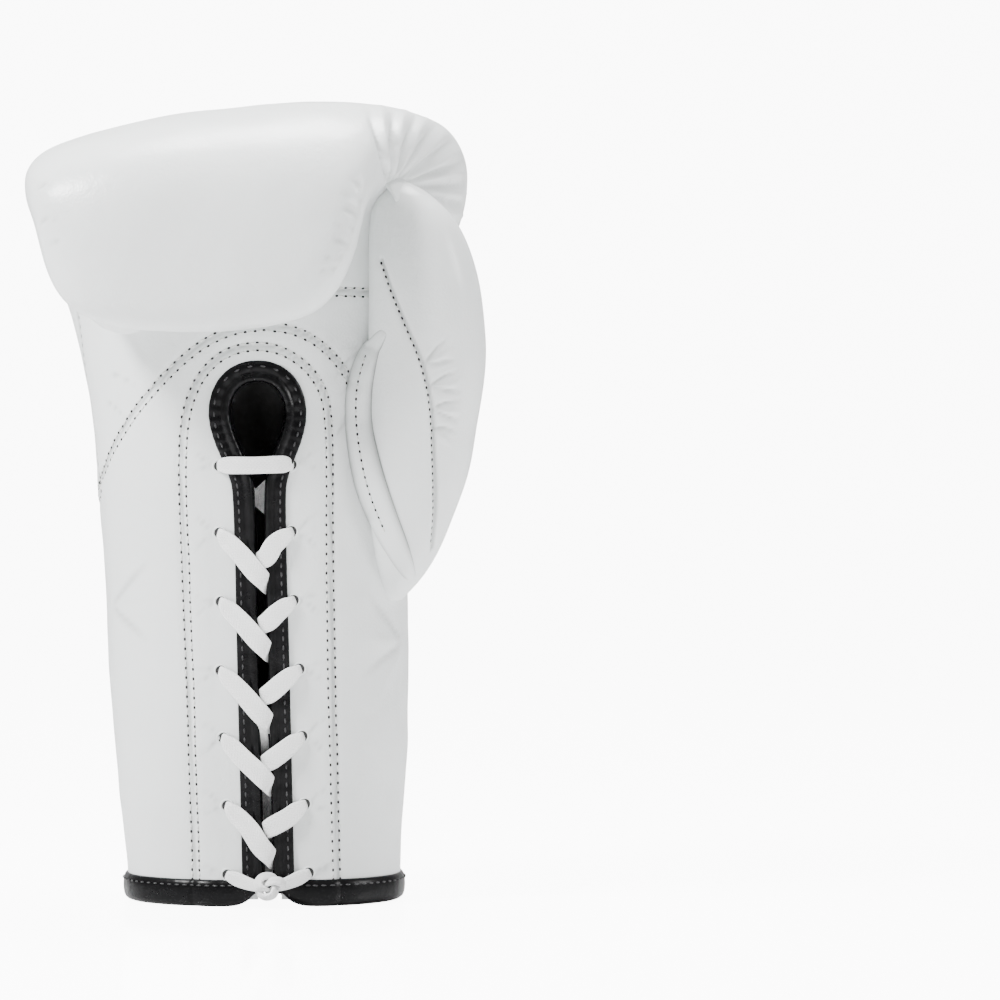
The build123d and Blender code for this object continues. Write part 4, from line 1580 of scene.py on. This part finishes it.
@dataclass
class LaceUp:
    """The lace through its eyelets, its knot and its tucked end."""

    skin: Surface

    def at(self, u: float, v: float, rise: float, width: float = 6.5, thick: float = 1.1,
           turn: float = 0.0) -> RibbonPoint:
        """A lace point at a place of the lacing.

        Args:
            u: the place across the lacing.
            v: the place up the lacing.
            rise: how far it is raised off the leather.
            width: the lace's width.
            thick: the lace's thickness.
            turn: how far it is turned to the thumb side.
        Returns:
            The point.
        """
        x, z = lace_place(u, v)
        point, normal = self.skin.front(x, z)
        face = (normal + Vector((turn, 0, 0))).normalized()
        return RibbonPoint(point + normal * rise, face, width, thick)

    def eyelet(self, row: int, side: int) -> tuple[float, float]:
        """u and v of an eyelet, side -1 at the pinky and 1 at the thumb."""
        return (LACING.right if side > 0 else LACING.left)[row], LACING.rows[row]

    def emerge(self, row: int, side: int) -> list[RibbonPoint]:
        """Points where the lace comes out of an eyelet and turns to the gap.

        Args:
            row: the eyelet's row.
            side: -1 at the pinky and 1 at the thumb.
        Returns:
            The points.
        """
        u, v = self.eyelet(row, side)
        return [
            self.at(u, v, -7.0, 4.6, 1.4),
            self.at(u + side * 0.2, v, -2.0, 3.6, 1.8),
            self.at(u - side * 0.5, v - 0.3, 0.8, 3.9, 1.6),
        ]

    def crossing(self, row: int, side: int) -> list[RibbonPoint]:
        """Points from an eyelet over the binding and down into the gap.

        Args:
            row: the eyelet's row.
            side: -1 at the pinky and 1 at the thumb.
        Returns:
            The points.
        """
        u, v = self.eyelet(row, side)
        wobble = 0.9 * math.sin(row * 2.7 + side)
        if side < 0:
            low = v - (15.5 + wobble)
            return [
                self.at(u + 3.0, v - 2.9, 1.7, 6.6, 0.95),
                self.at(u + 8.0, v - 8.2, 2.7, 7.4, 0.95),
                self.at(-2.4, low + 1.6, 3.4, 7.6, 0.95),
                self.at(1.2, low - 2.6, 2.2, 6.8, 1.1, 0.5),
                self.at(2.6, low - 5.2, -3.0, 5.8, 1.1, 0.8),
            ]
        low = v - (8.6 + wobble)
        return [
            self.at(u - 3.0, v - 1.9, 1.7, 6.4, 0.95),
            self.at(u - 6.5, v - 4.6, 2.6, 7.3, 0.95),
            self.at(2.4, low + 0.7, 2.5, 7.4, 0.95),
            self.at(-0.6, low - 1.2, 0.8, 6.4, 1.1, -0.4),
            self.at(-1.8, low - 3.0, -4.0, 5.6, 1.1, -0.8),
        ]

    def strand(self, side: int) -> list[RibbonPoint]:
        """One half of the lace, from the top bar down to the knot.

        Args:
            side: where it starts, -1 at the pinky and 1 at the thumb.
        Returns:
            The points.
        """
        top = len(LACING.rows) - 1
        u, v = self.eyelet(top, side)
        points = [
            self.at(u - side * 2.6, v + 0.2, 1.9, 6.3, 1.2),
            self.at(u - side * 0.4, v, 0.7, 4.6, 1.5),
            self.at(u + side * 0.3, v - 0.2, -2.0, 3.6, 1.8),
            self.at(u - side, v - 2, -8.5, 5.0, 1.2),
        ]
        for row in range(top - 1, -1, -1):
            side = -side
            start, height = self.eyelet(row, side)
            points.append(self.at(start - side * 3, height + 3, -9.0, 5.0, 1.2))
            points += self.emerge(row, side)
            if row:
                points += self.crossing(row, side)
        u, v = self.eyelet(0, side)
        return points + [
            self.at(u - side * 3.2, v - 1.2, 2.0, 5.4, 1.2),
            self.at(u - side * 7.0, v - 2.6, 3.4, 5.0, 1.3),
            self.at(side * 4.0, v - 3.6, 4.8, 4.2, 1.6),
            self.at(side * 1.0, v - 3.6, 5.2, 3.6, 1.8),
        ]

    def lace(self, material: Material) -> Piece:
        """The whole lace as one ribbon, knot end to knot end.

        Args:
            material: the piece's material.
        Returns:
            The piece.
        """
        one, two = self.strand(-1), self.strand(1)
        bar = [self.at(-7.0, 162.6, 3.0, 6.5, 1.2), self.at(-1.0, 162.5, 3.4, 6.4, 1.2),
               self.at(6.0, 162.6, 3.0, 6.5, 1.2)]
        return Ribbon("lace_ribbon", list(reversed(one)) + bar + two).build(material)

    def knot(self, material: Material) -> Piece:
        """A tight knot at the foot of the gap.

        Args:
            material: the piece's material.
        Returns:
            The piece.
        """
        centre = self.at(0.4, 8.6, 5.2)
        points = []
        for k in range(22):
            turn = 2 * math.pi * k / 22 * 0.97
            ring = 2.0 + math.cos(3 * turn)
            place = Vector((ring * math.cos(2 * turn) * 1.75, -math.sin(3 * turn) * 1.9,
                            ring * math.sin(2 * turn) * 1.35))
            out = Vector((math.cos(2 * turn), -0.9, math.sin(2 * turn)))
            points.append(RibbonPoint(centre.place + place, out, 3.6, 1.7))
        return Ribbon("lace_knot_ribbon", points, 5).build(material)

    def tail(self, material: Material) -> Piece:
        """The lace's spare end, tucked up the gap with its tip showing.

        Args:
            material: the piece's material.
        Returns:
            The piece.
        """
        spine = (
            (0.6, 9.5, 1.0), (0.8, 14.0, -5.0), (0.4, 24.0, -10.0), (-0.2, 38.0, -11.0),
            (-0.4, 50.0, -9.0), (-0.8, 59.0, -4.0), (-1.3, 66.0, 0.6), (-1.8, 69.5, 1.6),
        )
        points = [self.at(u, v, rise, 4.6, 1.2) for u, v, rise in spine]
        return Ribbon("lace_end_ribbon", points, 6).build(material)


@dataclass
class Eyelets:
    """Plain punched holes for the lace, with a pressed edge; each hole is a dark disc of painted shade on
    the unpierced leather.
    """

    radius: float = 2.3
    lip: float = 0.42

    def build(self, skin: Surface, leather: Material, dark: Material) -> list[Piece]:
        """Builds the pressed edges and the dark discs of painted shade that stand for the holes.

        Args:
            skin: the skin that they are punched in.
            leather: the edges' material.
            dark: the holes' material.
        Returns:
            The edges piece and the holes piece.
        """
        lips, holes = bmesh.new(), bmesh.new()
        for row, v in enumerate(LACING.rows):
            for u in (LACING.left[row], LACING.right[row]):
                x, z = lace_place(u, v)
                point, normal = skin.front(x, z)
                turn = normal.to_track_quat("Z", "Y").to_matrix().to_4x4()
                frame_here = Matrix.Translation(point) @ turn
                self.ring(lips, frame_here)
                # painted shade: a dark disc lying just above the leather stands for the hole
                bmesh.ops.create_circle(holes, cap_ends=True, segments=20, radius=self.radius - 0.1,
                                        matrix=frame_here @ Matrix.Translation((0, 0, 0.1)))
        return [finish_piece(lips, "eyelet_edges", leather, 1),
                finish_piece(holes, "eyelet_hole_shade", dark, keep_normals=True)]

    def ring(self, bm: Mesh, place: Matrix) -> None:
        """Adds one pressed ring by spinning a small circle.

        Args:
            bm: the mesh that takes it.
            place: the eyelet's place and direction.
        """
        made = bmesh.ops.create_circle(bm, segments=6, radius=self.lip)["verts"]
        spot = Matrix.Translation((self.radius, 0, 0.05)) @ Matrix.Rotation(math.pi / 2, 4, "X")
        bmesh.ops.transform(bm, matrix=place @ spot, verts=made)
        edges = list({edge for vert in made for edge in vert.link_edges})
        axis = place.to_3x3() @ Vector((0, 0, 1))
        bmesh.ops.spin(bm, geom=made + edges, cent=place.translation, axis=axis, angle=2 * math.pi, steps=16,
                       use_merge=True)


# ============================================================================ thumb joint
@dataclass
class ThumbGusset:
    """The leather web between the palm and the thumb."""

    inner: tuple[Spot, ...] = (
        (45.2, 212.0), (41.0, 208.5), (36.0, 202.0), (32.4, 191.0), (31.8, 178.0), (33.4, 163.0),
        (36.6, 150.0), (42.4, 137.0), (49.0, 126.0), (54.5, 119.0),
    )
    outer: tuple[Spot, ...] = (
        (46.6, 211.0), (44.6, 206.0), (42.4, 199.0), (40.6, 189.0), (40.6, 177.0), (43.4, 164.0),
        (47.0, 152.0), (51.2, 140.0), (54.6, 129.0), (56.6, 120.0),
    )
    rise: float = 0.9
    wall: float = 1.4

    def lines(self, skin: Surface) -> tuple[list[Vector], list[Vector], list[Vector], list[Vector]]:
        """Points and normals of the web's two edges.

        Args:
            skin: the skin that it lies on.
        Returns:
            Points and normals of the inner edge, then of the outer.
        """
        result = []
        for edge in (self.inner, self.outer):
            flat = smooth_line([Vector((x, 0, z)) for x, z in edge], 64)
            hits = [skin.front(place.x, place.z) for place in flat]
            result += [[point for point, _ in hits], [normal for _, normal in hits]]
        return tuple(result)

    def build(self, skin: Surface, material: Material) -> Piece:
        """Builds the web as a gently hollow strip with a wall and painted shade along its two edges.

        Args:
            skin: the skin that it lies on.
            material: the piece's material.
        Returns:
            The piece.
        """
        a, an, b, bn = self.lines(skin)
        bm = bmesh.new()
        bmesh.ops.create_grid(bm, x_segments=10, y_segments=len(a) - 1, size=1.0)
        shade = bm.verts.layers.float.new("seam")
        for vert in bm.verts:
            share = (vert.co.x + 1) / 2
            k = round((vert.co.y + 1) / 2 * (len(a) - 1))
            point = a[k].lerp(b[k], share)
            normal = an[k].lerp(bn[k], share).normalized()
            end = math.sin(math.pi * k / (len(a) - 1)) ** 0.5
            lift = self.rise + 0.5 * math.sin(math.pi * share) - 1.5 * (2 * share - 1) ** 8
            vert.co = point + normal * (lift * end - 1.6 * (1 - end))
            # painted shade: the seam attribute darkens the strip's edges where it meets the skin
            vert[shade] = 0.8 * abs(2 * share - 1) ** 6
        bmesh.ops.recalc_face_normals(bm, faces=bm.faces)
        bmesh.ops.solidify(bm, geom=bm.faces[:], thickness=self.wall)
        return finish_piece(bm, "thumb_web", material, 1)

    def stitches(self, web: Surface, thread: Material, hole: Material) -> list[Piece]:
        """A row of thread down the web.

        Args:
            web: the web's surface.
            thread: the thread's material.
            hole: the holes' material.
        Returns:
            The thread piece and the holes piece.
        """
        middle = [(0.62 * x0 + 0.38 * x1, z0) for (x0, z0), (x1, _) in zip(self.inner, self.outer)][2:-2]
        seam = Seam("web", tuple(middle), rows=(0.0,), pitch=3.0)
        return StitchRows("web_thread").build([seam], web, web, thread, hole)


@dataclass
class RollEnd:
    """The padded side panel that closes the finger roll's pinky end against the palm."""

    centre: tuple[float, float, float] = (-55.5, -57.0, 236.0)
    half: tuple[float, float, float] = (15.0, 19.0, 26.0)
    lean: float = 0.3

    def build(self, material: Material) -> Piece:
        """Builds the panel as a rounded cushion, sunk into the roll and the palm.

        Args:
            material: the piece's material.
        Returns:
            The piece.
        """
        bm = bmesh.new()
        bmesh.ops.create_uvsphere(bm, u_segments=64, v_segments=40, radius=1.0)
        for vert in bm.verts:
            swell = 1.0 + 0.02 * noise.noise(vert.co * 2.5)
            sizes = zip(self.centre, self.half, vert.co)
            vert.co = Vector(middle + half * swell * power(way, 0.82) for middle, half, way in sizes)
            vert.co.x -= self.lean * (vert.co.z - self.centre[2])
        return finish_piece(bm, "roll_end_panel", material)


@dataclass
class LockTab:
    """Short strap that ties the thumb's tip to the fist."""

    width: float = 11.0
    thick: float = 1.8
    face: tuple[float, float, float] = (0.15, -0.35, 1.0)
    spine: tuple[tuple[float, float, float], ...] = (
        (53.5, -46.5, 259.0), (50.5, -45.0, 264.0), (47.0, -41.0, 266.5), (43.5, -36.0, 267.0),
        (40.0, -31.0, 265.5),
    )

    def build(self, material: Material) -> Piece:
        """Builds the strap.

        Args:
            material: the piece's material.
        Returns:
            The piece.
        """
        face = Vector(self.face)
        points = [RibbonPoint(Vector(place), face, self.width, self.thick) for place in self.spine]
        return Ribbon("thumb_lock_strap", points, sides=14).build(material)


MITT_NODES = (
    "fist_cover", "palm_panel", "wrist_panel_pinky", "wrist_panel_thumb", "cuff_back_panel", "lace_placket",
    "knuckle_foam_outer", "knuckle_foam_inner", "finger_foam", "backhand_foam", "palm_foam",
    "cuff_foam_back", "cuff_foam_pinky", "cuff_foam_thumb", "grip_bar",
)
THUMB_NODES = ("thumb_cover_outer", "thumb_cover_inner", "thumb_foam", "thumb_lining")


class Glove:
    """The whole glove: builds each sub-assembly in order and rides it on its body."""

    fill = 0.95
    cut = 2.2
    web_span = ((0.036, -0.045, 0.17), (0.046, -0.045, 0.17))
    tab_span = ((0.043, -0.036, 0.266), (0.051, -0.044, 0.262))

    def __init__(self) -> None:
        """Makes the finishes."""
        self.white = WHITE_LEATHER.make()
        self.black = BLACK_BINDING.make()
        self.cloth = LACE_CLOTH.make()
        self.satin = SATIN.make()
        self.thread = WHITE_THREAD.make()
        self.black_thread = BLACK_THREAD.make()
        self.dark = NEEDLE_HOLE_SHADE.make()

    def work(self, piece: Piece, bare: Surface, seams: Sequence[Seam], folds: Sequence[Folds],
             swells: Sequence[Swells]) -> Surface:
        """Works one form's leather.

        Args:
            piece: the form.
            bare: its skin before the work.
            seams: the seams to press in.
            folds: the folds to press in.
            swells: the soft unevenness to add.
        Returns:
            The worked skin.
        """
        work = SkinWork(piece)
        for seam in seams:
            work.seam(seam, bare)
        for fold in folds:
            fold.press(work, bare)
        for swell in swells:
            work.uneven(swell)
        work.finish()
        return Surface(piece)

    def leather(self) -> None:
        """The mitt's and thumb's leather, with their seams and folds."""
        mitt = MittForm().build(self.white)
        thumb = ThumbForm().build(self.white)
        self.bare = Surface(mitt)
        self.bare_thumb = Surface(thumb)
        self.skin = self.work(mitt, self.bare, MITT_SEAMS, MITT_FOLDS, MITT_SWELLS)
        self.thumb_skin = self.work(thumb, self.bare_thumb, THUMB_SEAMS, THUMB_FOLDS, THUMB_SWELLS)
        self.both = Surface(mitt, thumb)
        cut_opening(mitt, self.cut)
        report(mitt, Body.MITT, *MITT_NODES)
        end = RollEnd().build(self.white)
        report(end, Body.MITT)
        report(thumb, Body.THUMB, *THUMB_NODES)

    def sewing(self) -> None:
        """Thread along the seams of the mitt and the thumb."""
        rows = StitchRows("mitt_thread")
        for piece in rows.build(MITT_SEAMS, self.bare, self.skin, self.thread, self.dark):
            report(piece, Body.MITT)
        rows = StitchRows("thumb_thread")
        for piece in rows.build(THUMB_SEAMS, self.bare_thumb, self.thumb_skin, self.thread, self.dark):
            report(piece, Body.THUMB)

    def trim(self) -> None:
        """Binding, hem, lining and eyelets."""
        binding, hem = OpeningBinding(), HemBinding()
        report(binding.build(self.skin, self.black), Body.MITT, "keyhole_binding")
        report(binding.stitches(self.skin, self.black_thread), Body.MITT)
        report(hem.build(self.skin, self.black), Body.MITT, "cuff_hem_binding")
        report(hem.stitches(self.skin, self.black_thread), Body.MITT)
        report(HandLining().build(self.satin), Body.MITT, "hand_lining")
        for piece in Eyelets().build(self.skin, self.white, self.dark):
            report(piece, Body.MITT)

    def lacing(self) -> None:
        """The lace, its knot and its end."""
        laces = LaceUp(self.skin)
        report(laces.lace(self.cloth), Body.MITT, "lace")
        report(laces.knot(self.cloth), Body.MITT, "lace_knot")
        report(laces.tail(self.cloth), Body.MITT, "lace_tail")

    def thumb_joint(self) -> None:
        """The web and the lock strap between the mitt and the thumb."""
        gusset = ThumbGusset()
        web = gusset.build(self.both, self.white)
        sewn = gusset.stitches(Surface(web), self.thread, self.dark)
        span(web, *self.web_span, "thumb_gusset")
        for piece in sewn:
            span(piece, *self.web_span)
        span(LockTab().build(self.white), *self.tab_span, "thumb_lock_tab")


def main() -> None:
    """Builds the glove piece by piece, then the studio."""
    glove = Glove()
    glove.leather()
    glove.sewing()
    glove.trim()
    glove.lacing()
    glove.thumb_joint()
    Studio().build()


if __name__ == "__main__":
    logging.basicConfig(level=logging.INFO, format="%(name)s %(message)s")
    main()
